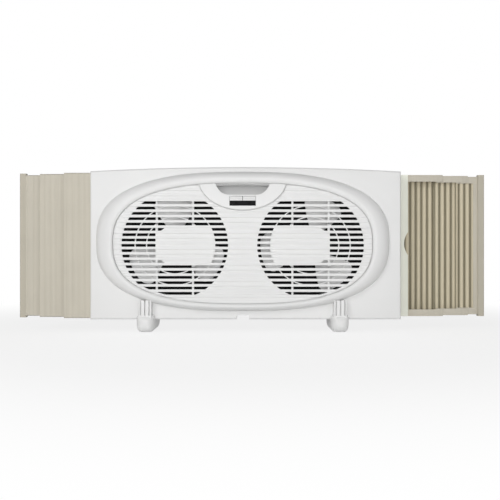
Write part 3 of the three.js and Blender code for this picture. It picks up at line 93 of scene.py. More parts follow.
class FanHousingSizes(bpy.types.PropertyGroup):
    """Sizes of the housing and of the oval rim on it."""

    half_height: length("Half height", "Fan axes to the bottom edge", 150)
    short_end: length("Short end", "Middle to the end that a filler panel leaves by", 309.6)
    long_end: length("Long end", "Middle to the closed end", 320.8)
    plate: length("Plate", "Parting plane to the flat plate", 38)
    wall: length("Wall", "Thickness of the housing", 2.2)
    edge_round: length("Edge round", "Radius round the plate", 4)
    crown: length("Crown", "Rise of the top edge in the middle", 9)
    notch_width: length("Notch width", "Width of the notch in the bottom edge", 25)
    notch_height: length("Notch height", "Height of the notch in the bottom edge", 8.5)
    oval_width: length("Oval half width", "Half width of the grille", 260)
    oval_height: length("Oval half height", "Half height of the grille", 121)
    oval_power: FloatProperty(
        name="Oval power", description="Exponent of the oval outline", default=2.6
    )
    rim_band: length("Rim band", "Edge of the grille to the crest of the rim", 7)
    crest: length("Crest", "Parting plane to the crest of the rim", 62)
    rim_drop: length("Rim drop", "Crest to the edge of the grille", 5)
    skirt_ends: length("Skirt run, ends", "Crest to the foot of the skirt at the ends", 30)
    skirt_sides: length("Skirt run, sides", "Crest to its foot above and below", 13)
    grille_lift: length("Grille lift", "Middle of the grille above the fan axes", 4)
    crest_lift: length("Crest lift", "Middle of the crest above the fan axes", 6)
    skirt_lift: length("Skirt lift", "Middle of the skirt's foot above the fan axes", 8)
    ledge: length("Ledge", "Shelf that the grille rests on", 3)
    boss_x: length("Screw offset", "Middle to each housing screw", 225.6)
    boss_z: length("Screw height", "Fan axes to each housing screw", 131)


class FanGrilleSizes(bpy.types.PropertyGroup):
    """Sizes of the slatted face."""

    pitch: length("Slot pitch", "One slot to the next", 10.67)
    slot: length("Slot height", "Height of one slot", 5.6)
    groove: length("Groove", "Depth of the lines on the closed slats", 2.2)
    slat: length("Slat", "Depth of the slats at the top and bottom", 3.8)
    bulge: length("Bulge", "How much prouder the middle slats stand", 2)
    belly: length("Belly", "How far each slat's face is rounded", 0.35)
    edge_gap: length("Edge gap", "Shadow gap round the grille", 1.4)
    border: length("Border", "Edge of the grille to the slots", 5)
    opening: length("Opening", "Radius of the round opening before each fan", 107)
    fan_offset: length("Fan offset", "Middle to each fan axis", 136)
    rib_offset: length("Rib offset", "Fan axis to each upright rib", 36.3)
    rib_width: length("Rib width", "Width of the upright ribs", 4)
    rib_depth: length("Rib depth", "Depth of the ribs behind the slats", 3.6)
    inner_ring: length("Inner ring", "Radius of the ring round the hub", 57)
    outer_ring: length("Outer ring", "Radius of the ring beyond it", 80)
    ring_width: length("Ring width", "Width of the rings", 2)
    hub_cover: length("Hub cover", "Radius of the closed part over the hub", 40)
    cover_rows: IntProperty(
        name="Cover rows", description="Rows closed above and below the axis", default=3
    )


class FanGripSizes(bpy.types.PropertyGroup):
    """Sizes of the bezel with the hand recess and of its knobs."""

    half_width: length("Bezel half width", "Half width of the bezel's ellipse", 88)
    drop: length("Bezel drop", "Height of the bezel's half ellipse", 62)
    centre: length("Bezel centre", "Centre of the ellipse above the grille", 7.6)
    face: length("Bezel face", "Parting plane to the face of the bezel", 61)
    wall: length("Bezel wall", "Thickness of the bezel", 2.4)
    grip_top: length("Recess top", "Half width of the hand recess at its top", 54.5)
    grip_floor: length("Recess floor", "Half width of its flat bottom", 27)
    grip_height: length("Recess height", "Height of the hand recess", 22)
    grip_depth: length("Recess depth", "Depth of the hand recess", 24)
    grip_land: length("Recess land", "Bezel left above the recess", 1.6)
    control_land: length("Control land", "Bezel between the recess and the opening", 0.8)
    control_width: length("Control width", "Width of the control opening", 52.6)
    control_height: length("Control height", "Height of the control opening", 19.4)
    knob_height: length("Knob height", "Height of one knob", 9)
    knob_split: length("Knob split", "Gap between the knobs", 0.8)


class FanRotorSizes(bpy.types.PropertyGroup):
    """Sizes of the rotors."""

    radius: length("Blade radius", "Fan axis to the blade tips", 100)
    span: FloatProperty(
        name="Blade span", description="Widest angle of one blade", unit="ROTATION",
        default=math.radians(54),
    )
    thickness: length("Blade thickness", "Thickness of the blades", 2.2)
    rise: length("Blade rise", "Front edge to rear edge along the axis", 27)
    tip_share: FloatProperty(name="Tip share", description="Rise left at the tip", default=0.7)
    hub: length("Hub radius", "Radius of the hub", 31)
    hub_depth: length("Hub depth", "Depth of the hub", 30)
    hub_wall: length("Hub wall", "Thickness of the hub", 2)
    boss: length("Hub boss", "Radius of the boss round the shaft", 7)
    shaft: length("Shaft", "Radius of the shaft", 3)
    clip: length("Clip", "Depth of the dish for the clip", 3)
    left_angle: FloatProperty(
        name="Left blade", description="Direction of the left fan's first blade",
        unit="ROTATION", default=math.radians(92),
    )
    right_angle: FloatProperty(
        name="Right blade", description="Direction of the right fan's first blade",
        unit="ROTATION", default=math.radians(70),
    )


class FanPanelSizes(bpy.types.PropertyGroup):
    """Sizes of the filler leaves."""

    wall: length("Leaf wall", "Thickness of a leaf", 1.3)
    lip: length("Lip", "Thickness of the lips", 1.4)
    lip_height: length("Lip height", "Height of the rails on the ribbed side", 14)
    rib_depth: length("Rib depth", "Depth of the upright ribs", 5.6)
    rib_pitch: length("Rib pitch", "One rib to the next", 12.1)
    # The stile is darkened evenly by this share of the painted rib shade
    stile_shade: FloatProperty(
        name="Stile shade", description="Share of the valleys' tone on the stile", default=0.2
    )
    first_valley: FloatVectorProperty(
        name="First valley", description="End of each leaf to the first valley between its ribs",
        default=(3.3 * MM, 7.7 * MM, 3.2 * MM), unit="LENGTH",
    )
    rib_width: length("Rib width", "Width of a rib at its root", 9)
    line_depth: length("Line depth", "Depth of the fine lines on the smooth side", 0.3)
    stile: length("Stile", "Width of the end stile", 13)
    stile_lip: length("Stile lip", "Width of the lip beside the stile", 22)
    stile_round: length("Stile round", "Radius of the stile's edges", 3)
    front: length("Leaf front", "Parting plane to the first leaf", 35.4)
    back: length("Leaf back", "Parting plane to the back of the first leaf", 8.5)


class FanFootSizes(bpy.types.PropertyGroup):
    """Sizes of the feet."""

    offset: length("Foot offset", "Middle to each foot", 196)
    width: length("Foot width", "Width of a foot", 36.6)
    sole: length("Sole", "Width of the flat sole", 17)
    drop: length("Foot drop", "Soles to the bottom edge of the housing", 25)
    toe: length("Toe", "How far the toe stands before the plate", 22)
    toe_height: length("Toe height", "Height of the toe", 37.5)
    toe_power: FloatProperty(
        name="Toe power", description="How full the rounded front of the toe is", default=2.3
    )
    stem_width: length("Stem width", "Width of the stem", 26)
    stem_depth: length("Stem depth", "Depth of the stem", 17)
    groove: length("Groove", "Width of the stem's grooves", 2.6)
    groove_depth: length("Groove depth", "Depth of the stem's grooves", 6)


class FanFinishColours(bpy.types.PropertyGroup):
    """Colours of the finishes."""

    white: colour("White", "Housing, grille and feet", 0.83, 0.83, 0.825)
    blade: colour("Blade", "Rotors", 0.88, 0.88, 0.875)
    cream: colour("Cream", "Panel guides", 0.9, 0.91, 0.81)
    beige: colour("Beige", "Filler panels", 0.6, 0.56, 0.47)
    # The next two colours are painted light and shade on the ribs behind the filler panels: lighter
    # and yellower at the crests, dark between the ribs
    ridge: colour("Ridge", "Crests of the ribs behind the filler panels", 0.66, 0.59, 0.43)
    valley: colour("Valley", "Valleys between those ribs", 0.27, 0.24, 0.16)
    black: colour("Black", "Switches and cord inlet", 0.012, 0.012, 0.013)
    # Near-black baffle and insect screen: dark parts that stand in for the shade inside the housing
    charcoal: colour("Charcoal", "Baffle", 0.016, 0.016, 0.017)
    steel: colour("Steel", "Shafts and screws", 0.56, 0.57, 0.58)
    motor: colour("Motor", "Motor cans", 0.2, 0.205, 0.215)
    bronze: colour("Bronze", "Bushings", 0.38, 0.24, 0.1)


class FanStageSettings(bpy.types.PropertyGroup):
    """Camera and light."""

    distance: length("Camera distance", "Camera to the front plate", 1500)
    height: length("Camera height", "Camera above the floor", 165.7)
    side: length("Camera side", "Camera beside the middle of the overall box", -8.7)
    lens: FloatProperty(name="Lens", description="Focal length", default=53.3)
    key: FloatProperty(name="Key light", description="Power of the key light", default=14)
    fill: FloatProperty(name="Fill light", description="Power of the fill light", default=4)
    front: FloatProperty(name="Front light", description="Power of the front light", default=20)
    sky: FloatProperty(name="Sky", description="Strength of the room light", default=0.27)
    floor_glow: FloatProperty(
        name="Floor glow", description="Share of the floor that ignores shadow", default=0.8
    )


class WindowFanSettings(bpy.types.PropertyGroup):
    """All settings of the window fan."""

    housing: PointerProperty(type=FanHousingSizes)
    grille: PointerProperty(type=FanGrilleSizes)
    grip: PointerProperty(type=FanGripSizes)
    rotor: PointerProperty(type=FanRotorSizes)
    panel: PointerProperty(type=FanPanelSizes)
    foot: PointerProperty(type=FanFootSizes)
    colours: PointerProperty(type=FanFinishColours)
    stage: PointerProperty(type=FanStageSettings)


def settings():
    return bpy.context.scene.window_fan


# ---------------------------------------------------------------- modelling


def at(x, z, front):
    """A place given across, up, and in front of the parting plane."""
    return MIDDLE + Vector((x, -front, z))


def clear():
    bpy.ops.object.select_all(action="DESELECT")


def take(obj):
    clear()
    obj.select_set(True)
    bpy.context.view_layer.objects.active = obj


def edit(obj):
    take(obj)
    bpy.ops.object.mode_set(mode="EDIT")
    bpy.ops.mesh.select_all(action="SELECT")


def leave():
    bpy.ops.object.mode_set(mode="OBJECT")


def settle():
    """Turns all faces outwards and ends the editing."""
    bpy.ops.mesh.select_all(action="SELECT")
    bpy.ops.mesh.normals_make_consistent(inside=False)
    leave()


def polygon(corners, filled=True):
    """A circle whose corners are moved to the given places."""
    clear()
    bpy.ops.mesh.primitive_circle_add(
        vertices=len(corners), fill_type="NGON" if filled else "NOTHING"
    )
    obj = bpy.context.active_object
    for vertex, corner in zip(obj.data.vertices, corners):
        vertex.co = corner
    return obj


def merged(pieces):
    """Several objects joined into the first."""
    clear()
    for piece in pieces:
        piece.select_set(True)
    bpy.context.view_layer.objects.active = pieces[0]
    if len(pieces) > 1:
        bpy.ops.object.join()
    return bpy.context.active_object


def extruded(outlines, along):
    """Filled outlines drawn out together, with their faces turned outwards."""
    obj = merged([polygon(corners) for corners in outlines])
    edit(obj)
    bpy.ops.mesh.extrude_region_move(TRANSFORM_OT_translate={"value": along})
    settle()
    return obj


def front_prisms(outlines, front, back):
    """Outlines in (x, z) drawn out from one depth to another."""
    places = [[at(x, z, front) for x, z in outline] for outline in outlines]
    return extruded(places, (0, front - back, 0))


def side_prism(outline, x0, x1):
    """An outline in (front, z) drawn out across."""
    return extruded([[at(x0, z, front) for front, z in outline]], (x1 - x0, 0, 0))


def upright_prism(outline, z0, z1):
    """An outline in (x, front) drawn out upwards."""
    return extruded([[at(x, z0, front) for x, front in outline]], (0, 0, z1 - z0))


def block(x0, x1, z0, z1, front, back):
    return front_prisms([[(x0, z0), (x1, z0), (x1, z1), (x0, z1)]], front, back)


def quarter(i, steps):
    """The angle after some steps of a quarter turn."""
    return i / steps * math.pi / 2


def bend(start, control, stop, steps):
    """Points on a curve that leaves and arrives along its control point, without the first."""
    points = []
    for i in range(1, steps + 1):
        t = i / steps
        points.append(tuple((1 - t) ** 2 * a + 2 * t * (1 - t) * b + t ** 2 * c
                            for a, b, c in zip(start, control, stop)))
    return points


def turned(profile, x, z, steps):
    """A closed profile of (radius, front) spun about a fan axis."""
    obj = polygon([at(x + radius, z, front) for radius, front in profile], filled=False)
    edit(obj)
    bpy.ops.mesh.spin(steps=steps, angle=math.tau, center=at(x, z, 0), axis=(0, 1, 0))
    bpy.ops.mesh.select_all(action="SELECT")
    bpy.ops.mesh.remove_doubles(threshold=WELD)
    bpy.ops.mesh.dissolve_degenerate(threshold=WELD)
    settle()
    return obj


Oval = namedtuple("Oval", "wide high lift")  # half width, half height, middle above the axes


def grown(oval, ends, sides, lift=None):
    return Oval(oval.wide + ends, oval.high + sides, oval.lift if lift is None else lift)


def grille_oval():
    sizes = settings().housing
    return Oval(sizes.oval_width, sizes.oval_height, sizes.grille_lift)


def crest_oval():
    sizes = settings().housing
    return grown(grille_oval(), sizes.rim_band, sizes.rim_band, sizes.crest_lift)


def skirt_oval(share=1.0):
    """The oval part of the way from the crest to the foot of the skirt."""
    sizes = settings().housing
    lift = sizes.crest_lift + (sizes.skirt_lift - sizes.crest_lift) * share
    return grown(crest_oval(), sizes.skirt_ends * share, sizes.skirt_sides * share, lift)


def band_oval(inward):
    """The oval a given way inside the crest."""
    sizes = settings().housing
    share = min(inward / sizes.rim_band, 1)
    lift = sizes.crest_lift + (sizes.grille_lift - sizes.crest_lift) * share
    return grown(crest_oval(), -inward, -inward, lift)


def oval_corners(oval):
    """Corners of the oval outline in (x, z)."""
    power = 2 / settings().housing.oval_power
    corners = []
    for i in range(OVAL_STEPS):
        c = math.cos(math.tau * i / OVAL_STEPS)
        s = math.sin(math.tau * i / OVAL_STEPS)
        corners.append((
            oval.wide * math.copysign(abs(c) ** power, c),
            oval.lift + oval.high * math.copysign(abs(s) ** power, s),
        ))
    return corners


def oval_reach(oval, z):
    """Half the length of a level line inside an oval."""
    power = settings().housing.oval_power
    share = min(abs(z - oval.lift) / oval.high, 1)
    return oval.wide * (1 - share ** power) ** (1 / power)


def oval_rise(oval, x):
    """Half the length of an upright line inside an oval."""
    power = settings().housing.oval_power
    share = min(abs(x) / oval.wide, 1)
    return oval.high * (1 - share ** power) ** (1 / power)


def oval_skin(stations):
    """A profile of (oval, front) carried round and closed."""
    oval, front = stations[0]
    obj = polygon([at(x, z, front) for x, z in oval_corners(oval)], filled=False)
    edit(obj)
    for next_oval, next_front in stations[1:]:
        bpy.ops.mesh.extrude_region_move(
            TRANSFORM_OT_translate={"value": (0, front - next_front, next_oval.lift - oval.lift)}
        )
        bpy.ops.transform.resize(
            value=(next_oval.wide / oval.wide, 1, next_oval.high / oval.high),
            center_override=at(0, next_oval.lift, next_front),
        )
        oval, front = next_oval, next_front
    bpy.ops.mesh.select_all(action="DESELECT")
    bpy.ops.mesh.select_non_manifold()
    bpy.ops.mesh.bridge_edge_loops()
    settle()
    return obj


def modified(obj, kind, **choices):
    """A shape with one modifier applied to it."""
    take(obj)
    bpy.ops.object.modifier_add(type=kind)
    modifier = obj.modifiers[-1]
    for name, choice in choices.items():
        setattr(modifier, name, choice)
    bpy.ops.object.modifier_apply(modifier=modifier.name)
    return obj


def carved(obj, tool, operation="DIFFERENCE"):
    """One shape cut by, kept inside or joined to another, which is used up."""
    modified(obj, "BOOLEAN", operation=operation, object=tool, solver="EXACT")
    bpy.data.objects.remove(tool)
    return obj


def bevelled(obj, width, segments=3, degrees=40):
    return modified(obj, "BEVEL", width=width, segments=segments, limit_method="ANGLE",
                    angle_limit=math.radians(degrees))


def rounded_front(obj, front, radius, segments=5):
    """Rounds the edges round the face that lies at one depth."""
    edit(obj)
    bpy.ops.mesh.select_mode(type="EDGE")
    bpy.ops.mesh.select_all(action="DESELECT")
    leave()
    level = -front
    places = obj.data.vertices
    for edge in obj.data.edges:
        edge.select = all(abs(places[i].co.y - level) < LEVEL for i in edge.vertices)
    bpy.ops.object.mode_set(mode="EDIT")
    bpy.ops.mesh.bevel(offset=radius, segments=segments, affect="EDGES")
    leave()
    return obj


def to_rear(obj):
    """Turns a shape half a turn about the upright through the middle."""
    edit(obj)
    bpy.ops.transform.rotate(value=math.pi, orient_axis="Z", center_override=MIDDLE)
    leave()
    return obj


def shifted(obj, x):
    edit(obj)
    bpy.ops.transform.translate(value=(x, 0, 0))
    leave()
    return obj


def finished(obj, name, body, node, slot, degrees=32):
    """Names a piece, shades it, and hangs it on its body in place of its node."""
    take(obj)
    bpy.ops.object.transform_apply(location=True, rotation=True, scale=True)
    bpy.ops.object.shade_smooth_by_angle(angle=math.radians(degrees))
    obj.name = name
    obj.data.name = name
    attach(obj, body)
    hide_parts(node)
    obj.data.materials.clear()
    obj.data.materials.append(FINISHES[slot])


# ---------------------------------------------------------------- finishes


class Signal:
    """A socket's value in a sum or product."""

    def __init__(self, finish, socket):
        self.finish = finish
        self.socket = socket

    def _math(self, operation, first, second):
        node = self.finish.node("ShaderNodeMath", {"operation": operation}, {0: first, 1: second})
        return Signal(self.finish, node.outputs[0])

    def __add__(self, other):
        return self._math("ADD", self, other)

    def __mul__(self, other):
        return self._math("MULTIPLY", self, other)

    def __rsub__(self, other):
        return self._math("SUBTRACT", other, self)

    def __pow__(self, other):
        return self._math("POWER", self, other)

    __radd__ = __add__
    __rmul__ = __mul__


class Nodes:
    """A node tree and the ways to add to it."""

    def __init__(self, tree):
        self.tree = tree

    def feed(self, target, value):
        """Links a socket to another node's value, or sets it."""
        if isinstance(value, Signal):
            value = value.socket
        if isinstance(value, bpy.types.NodeSocket):
            self.tree.links.new(value, target)
        else:
            target.default_value = value

    def node(self, kind, choices=None, values=None):
        made = self.tree.nodes.new(kind)
        for key, value in (choices or {}).items():
            setattr(made, key, value)
        for key, value in (values or {}).items():
            self.feed(made.inputs[key], value)
        return made


class Finish(Nodes):
    """A material and the nodes that make it."""

    def __init__(self, name):
        self.material = bpy.data.materials.new(name)
        self.material.use_nodes = True
        super().__init__(self.material.node_tree)
        self.surface = self.tree.nodes["Principled BSDF"]
        self.place = self.node("ShaderNodeTexCoord").outputs["Object"]

    def give(self, name, value):
        self.feed(self.surface.inputs[name], value)

    def stretched(self, x, y, z):
        mapping = self.node("ShaderNodeMapping", None, {"Vector": self.place, "Scale": (x, y, z)})
        return mapping.outputs[0]

    def noise(self, scale, detail, vector=None):
        values = {"Vector": vector or self.place, "Scale": scale, "Detail": detail}
        return Signal(self, self.node("ShaderNodeTexNoise", None, values).outputs[0])

    def wave(self, axis, scale):
        choices = {"wave_type": "BANDS", "bands_direction": axis, "wave_profile": "SIN"}
        values = {"Vector": self.place, "Scale": scale}
        return Signal(self, self.node("ShaderNodeTexWave", choices, values).outputs[1])

    def mark(self, name):
        """A value noted on the mesh."""
        return Signal(self, self.node("ShaderNodeAttribute", {"attribute_name": name}).outputs[2])

    def mixed(self, share, *tones):
        """A mix of two colours, each a tone or another node's colour."""
        values = {0: share}
        for slot, tone in zip((6, 7), tones):
            values[slot] = tone if isinstance(tone, bpy.types.NodeSocket) else (*tone, 1)
        return self.node("ShaderNodeMix", {"data_type": "RGBA"}, values).outputs[2]

    def bump(self, height, distance):
        values = {"Height": height, "Distance": distance}
        self.give("Normal", self.node("ShaderNodeBump", None, values).outputs[0])


def shade(tone, factor):
    return tuple(min(1.0, channel * factor) for channel in tone)


def moulded_plastic(name, tone, roughness, grain, sheen=0.4):
    """Moulded plastic: mottling, flow marks, spark-eroded grain, painted shade in marked recesses.
    """
    finish = Finish(name)
    mottle = finish.noise(9, 3)
    marks = finish.noise(14, 2, finish.stretched(0.25, 1, 2.2))
    share = mottle * 0.7 + marks * 0.3
    clean = finish.mixed(share, shade(tone, 0.955), shade(tone, 1.035))
    # Marked points get a painted shade: the plastic's tone darkened to 0.64
    finish.give("Base Color", finish.mixed(finish.mark("hollow"), clean, shade(tone, 0.64)))
    finish.give("Roughness", mottle * 0.12 + (roughness - 0.06))
    finish.bump(finish.noise(1900, 2) * 0.6 + finish.noise(700, 1) * 0.4, grain * MM)
    finish.give("Specular IOR Level", sheen)
    return finish.material


def drawn_plastic(name, tone, lit_ridge_tone, shaded_valley_tone, roughness):
    """Extruded plastic: faint lines along its length, dust in patches, painted light on the ribs'
    crests and painted shade at their roots and between them.
    """
    finish = Finish(name)
    lines = finish.noise(260, 3, finish.stretched(1, 1, 0.012))
    dust = finish.noise(22, 4)
    share = lines * 0.55 + dust * 0.45
    face = finish.mixed(share, shade(tone, 0.86), shade(tone, 1.1))
    # Painted light and shade by depth: lighter and yellower towards the ribs' crests, dark at their
    # roots and between them
    ribbed = finish.mixed(finish.mark("ridge"), face, lit_ridge_tone)
    finish.give("Base Color", finish.mixed(finish.mark("valley"), ribbed, shaded_valley_tone))
    finish.give("Roughness", dust * 0.14 + (roughness - 0.07))
    finish.bump(lines * 0.8 + finish.noise(1500, 2) * 0.2, 0.06 * MM)
    finish.give("Specular IOR Level", 0.35)
    return finish.material


def woven_mesh(name, tone):
    """Fine insect mesh, woven of upright and level threads, in a dark tone that stands in for the
    shade inside the housing.
    """
    finish = Finish(name)
    threads = finish.wave("X", 160) * 0.5 + finish.wave("Z", 160) * 0.5
    share = threads ** 2.0
    finish.give("Base Color", finish.mixed(share, shade(tone, 0.4), shade(tone, 1.8)))
    finish.give("Roughness", 0.85)
    finish.bump(threads, 0.25 * MM)
    return finish.material


def worked_metal(name, tone, roughness, grain):
    """Plated or pressed metal with fine turning marks."""
    finish = Finish(name)
    marks = finish.noise(420, 3, finish.stretched(1, 6, 1))
    spots = finish.noise(60, 2)
    finish.give("Base Color", finish.mixed(spots, shade(tone, 0.85), shade(tone, 1.1)))
    finish.give("Roughness", marks * 0.2 + (roughness - 0.1))
    finish.give("Metallic", 1.0)
    finish.bump(marks, grain * MM)
    return finish.material


FINISHES = {}


def make_finishes():
    tones = settings().colours
    recipes = {
        "white_plastic": (moulded_plastic, tones.white, 0.42, 0.05),
        "blade_plastic": (moulded_plastic, tones.blade, 0.34, 0.02),
        "cream_plastic": (moulded_plastic, tones.cream, 0.5, 0.05),
        "beige_plastic": (drawn_plastic, tones.beige, tones.ridge, tones.valley, 0.5),
        "black_plastic": (moulded_plastic, tones.black, 0.7, 0.04, 0.12),
        # Painted shade: these near-black parts stand in for the shade inside the housing
        "charcoal_plastic": (moulded_plastic, tones.charcoal, 0.7, 0.05, 0.15),
        "screen_mesh": (woven_mesh, tones.charcoal),
        "steel": (worked_metal, tones.steel, 0.35, 0.02),
        "motor_steel": (worked_metal, tones.motor, 0.45, 0.03),
        "bronze": (worked_metal, tones.bronze, 0.4, 0.02),
    }
    for name, (make, *choices) in recipes.items():
        FINISHES[name] = make(name, *choices)


# ---------------------------------------------------------------- housing

TOP_STEPS = 36
SKIRT_STEPS = 12
CREST_STEPS = 6
RUN_POWER = 1.15  # bend of the skirt: its run, and its rise, along a quarter turn
RISE_POWER = 1.05
RIM_WALL = 2.4 * MM
LEDGE_DEPTH = 2 * MM
INSIDE_BEND = (0.62, 0.42)  # corner inside the skirt, as shares of its run and its rise
INSIDE_FOOT = 0.8  # share of the run where the inside meets the plate
PLATE_HOLE = 0.9  # share of the run where the plate stops under the skirt
GUIDE_WALL = 2.2 * MM
WELL_RADIUS = 3.8 * MM
WELL_DEPTH = 4.8 * MM
WELL_WALL = 0.8 * MM
WELL_FLOOR = 1 * MM
SCREW_HOLE = 1.9 * MM
INLET_RADIUS = 5.7 * MM
INLET_INSET = 32 * MM  # cord inlet from the closed end
INLET_HEIGHT = 24 * MM  # and above the bottom edge


def grille_front():
    """Depth of the edge of the grille's face."""
    return settings().housing.crest - settings().housing.rim_drop


def grille_back():
    return grille_front() - settings().grille.slat


def ledge_back():
    return grille_back() - SEAT_GAP - LEDGE_DEPTH


def top_edge(x):
    sizes = settings().housing
    return sizes.half_height + sizes.crown * (1 - (x / sizes.long_end) ** 2)


def housing_outline(left, right, inset):
    bottom = inset - settings().housing.half_height
    corners = [(left, bottom), (right, bottom)]
    for i in range(TOP_STEPS + 1):
        x = right + (left - right) * i / TOP_STEPS
        corners.append((x, top_edge(x) - inset))
    return corners


def oval_rim():
    """Skirt, rounded crest, inner band and ledge as one skin."""
    sizes = settings().housing
    buried = sizes.plate - sizes.wall / 2
    rise = sizes.crest - sizes.plate

    def skirt(share, front):
        return skirt_oval(share), front

    def band(inward, front):
        return band_oval(inward), front

    stations = [skirt(1.0, buried), skirt(1.0, sizes.plate)]
    for i in range(1, SKIRT_STEPS):
        turn = quarter(i, SKIRT_STEPS)
        stations.append(skirt(math.cos(turn) ** RUN_POWER,
                              sizes.plate + rise * math.sin(turn) ** RISE_POWER))
    stations.append(skirt(0, sizes.crest))
    for i in range(1, CREST_STEPS + 1):
        turn = quarter(i, CREST_STEPS)
        stations.append(band(sizes.rim_band * math.sin(turn),
                             grille_front() + sizes.rim_drop * math.cos(turn)))
    bend_run, bend_rise = INSIDE_BEND
    stations += [
        band(sizes.rim_band, grille_back() - SEAT_GAP),
        band(sizes.rim_band + sizes.ledge, grille_back() - SEAT_GAP),
        band(sizes.rim_band + sizes.ledge, ledge_back()),
        band(sizes.rim_band - RIM_WALL, ledge_back()),
        band(sizes.rim_band - RIM_WALL, grille_front() - RIM_WALL / 2),
        band(0, sizes.crest - RIM_WALL),
        skirt(bend_run, sizes.plate + rise * bend_rise),
        skirt(INSIDE_FOOT, buried),
    ]
    return oval_skin(stations)


def bar(radius, x, z, front, back):
    """A round bar along the fan axes."""
    return turned([(0, front), (radius, front), (radius, back), (0, back)], x, z, BORE_STEPS)


def screw_wells(shell):
    """Sinks the wells of the housing screws, and returns the cups that line them."""
    sizes = settings().housing
    floor = sizes.plate - WELL_DEPTH
    mouth, wide = sizes.plate - WELL_FLOOR, WELL_RADIUS + WELL_WALL
    cup = [(WELL_RADIUS, mouth), (wide, mouth), (wide, floor - WELL_FLOOR),
           (SCREW_HOLE, floor - WELL_FLOOR), (SCREW_HOLE, floor), (WELL_RADIUS, floor)]
    cups = []
    for x in (-sizes.boss_x, sizes.boss_x):
        for z in (-sizes.boss_z, sizes.boss_z):
            carved(shell, bar(WELL_RADIUS, x, z, sizes.plate + BEYOND, floor))
            cups.append(turned(cup, x, z, BORE_STEPS))
    return cups


def half_shell(rear):
    sizes = settings().housing
    outline = housing_outline(-sizes.short_end, sizes.long_end, 0)
    shell = front_prisms([outline], sizes.plate, SEAT_GAP / 2)
    rounded_front(shell, sizes.plate, sizes.edge_round)
    inside = housing_outline(-sizes.short_end - BEYOND, sizes.long_end - sizes.wall, sizes.wall)
    carved(shell, front_prisms([inside], sizes.plate - sizes.wall, -BEYOND))
    carved(shell, front_prisms([oval_corners(skirt_oval(PLATE_HOLE))], sizes.plate + BEYOND,
                               sizes.plate - BEYOND))
    half = sizes.notch_width / 2
    bottom = -sizes.half_height
    top = bottom + sizes.notch_height
    walls = block(-half - sizes.wall, half + sizes.wall, bottom + OVERLAP, top + sizes.wall,
                  sizes.plate - sizes.edge_round, SEAT_GAP / 2)
    carved(shell, walls, "UNION")
    carved(shell, block(-half, half, bottom - BEYOND, top, sizes.plate + BEYOND, -BEYOND))
    guide_back = settings().panel.back - SLIDE_GAP - GUIDE_WALL
    jamb = block(-sizes.short_end, -sizes.short_end + sizes.wall, bottom + OVERLAP,
                 sizes.half_height - OVERLAP, guide_back - SLIDE_GAP, SEAT_GAP / 2)
    parts = [shell, oval_rim(), jamb]
    if rear:
        parts += screw_wells(shell)
        carved(shell, bar(INLET_RADIUS, sizes.long_end - INLET_INSET,
                          INLET_HEIGHT - sizes.half_height, sizes.plate + BEYOND,
                          sizes.plate - BEYOND))
    return merged(parts)


class WINDOWFAN_OT_housing(bpy.types.Operator):
    """Builds the two half shells with their smooth oval rims"""

    bl_idname = "window_fan.housing"
    bl_label = "Housing"

    def execute(self, context):
        finished(half_shell(False), "housing_front", "housing", "front_shell", "white_plastic")
        rear = to_rear(half_shell(True))
        finished(rear, "housing_rear", "housing", "rear_shell", "white_plastic")
        return {"FINISHED"}


# ---------------------------------------------------------------- grille

GROOVE_SLOPE = 0.5 * MM  # run of a groove's sides
BELLY_CORNERS = (0.15, 0.5, 0.85)  # shares of a slat where its rounded face has corners
# A slot's rounded end: share of its height, and how far it draws back there
SLOT_END = ((0, 0.9 * MM), (0.12, 0.2 * MM), (0.5, 0), (0.88, 0.2 * MM), (1, 0.9 * MM))
CLOSED_TOP_ROWS = 1  # rows left closed at the top of each round opening
RIB_CLEARANCE = 1.2 * MM  # ledge to the ends of the upright ribs
REAR_RIB_DEPTH = 2 * MM
BEZEL_STEPS = 120


def slat_front(z):
    sizes = settings()
    share = (z - sizes.housing.grille_lift) / sizes.housing.oval_height
    return grille_front() + sizes.grille.bulge * (1 - share ** 2)


def slatted_blank():
    """Rounded slats with a groove between each two, cut to the oval."""
    sizes = settings().grille
    back = grille_back()
    rim = grown(grille_oval(), -sizes.edge_gap, -sizes.edge_gap)
    bottom = rim.lift - rim.high - PAST
    top = rim.lift + rim.high + PAST
    lowest = math.ceil((bottom + sizes.slot) / sizes.pitch)
    highest = math.floor((top - sizes.slot) / sizes.pitch)
    slat = sizes.pitch - sizes.slot
    profile = [(back, bottom), (slat_front(bottom), bottom)]
    for row in range(lowest, highest + 1):
        low = row * sizes.pitch - sizes.slot / 2
        high = low + sizes.slot
        profile += [(slat_front(low), low), (slat_front(low) - sizes.groove, low + GROOVE_SLOPE),
                    (slat_front(high) - sizes.groove, high - GROOVE_SLOPE),
                    (slat_front(high), high)]
        if row < highest:
            for share in BELLY_CORNERS:
                z = high + slat * share
                profile.append((slat_front(z) + sizes.belly * (1 - (2 * share - 1) ** 2), z))
    profile += [(slat_front(top), top), (back, top)]
    face = side_prism(profile, -rim.wide - PAST, rim.wide + PAST)
    outline = front_prisms([oval_corners(rim)], settings().housing.crest + BEYOND, back - BEYOND)
    return carved(face, outline, "INTERSECT")


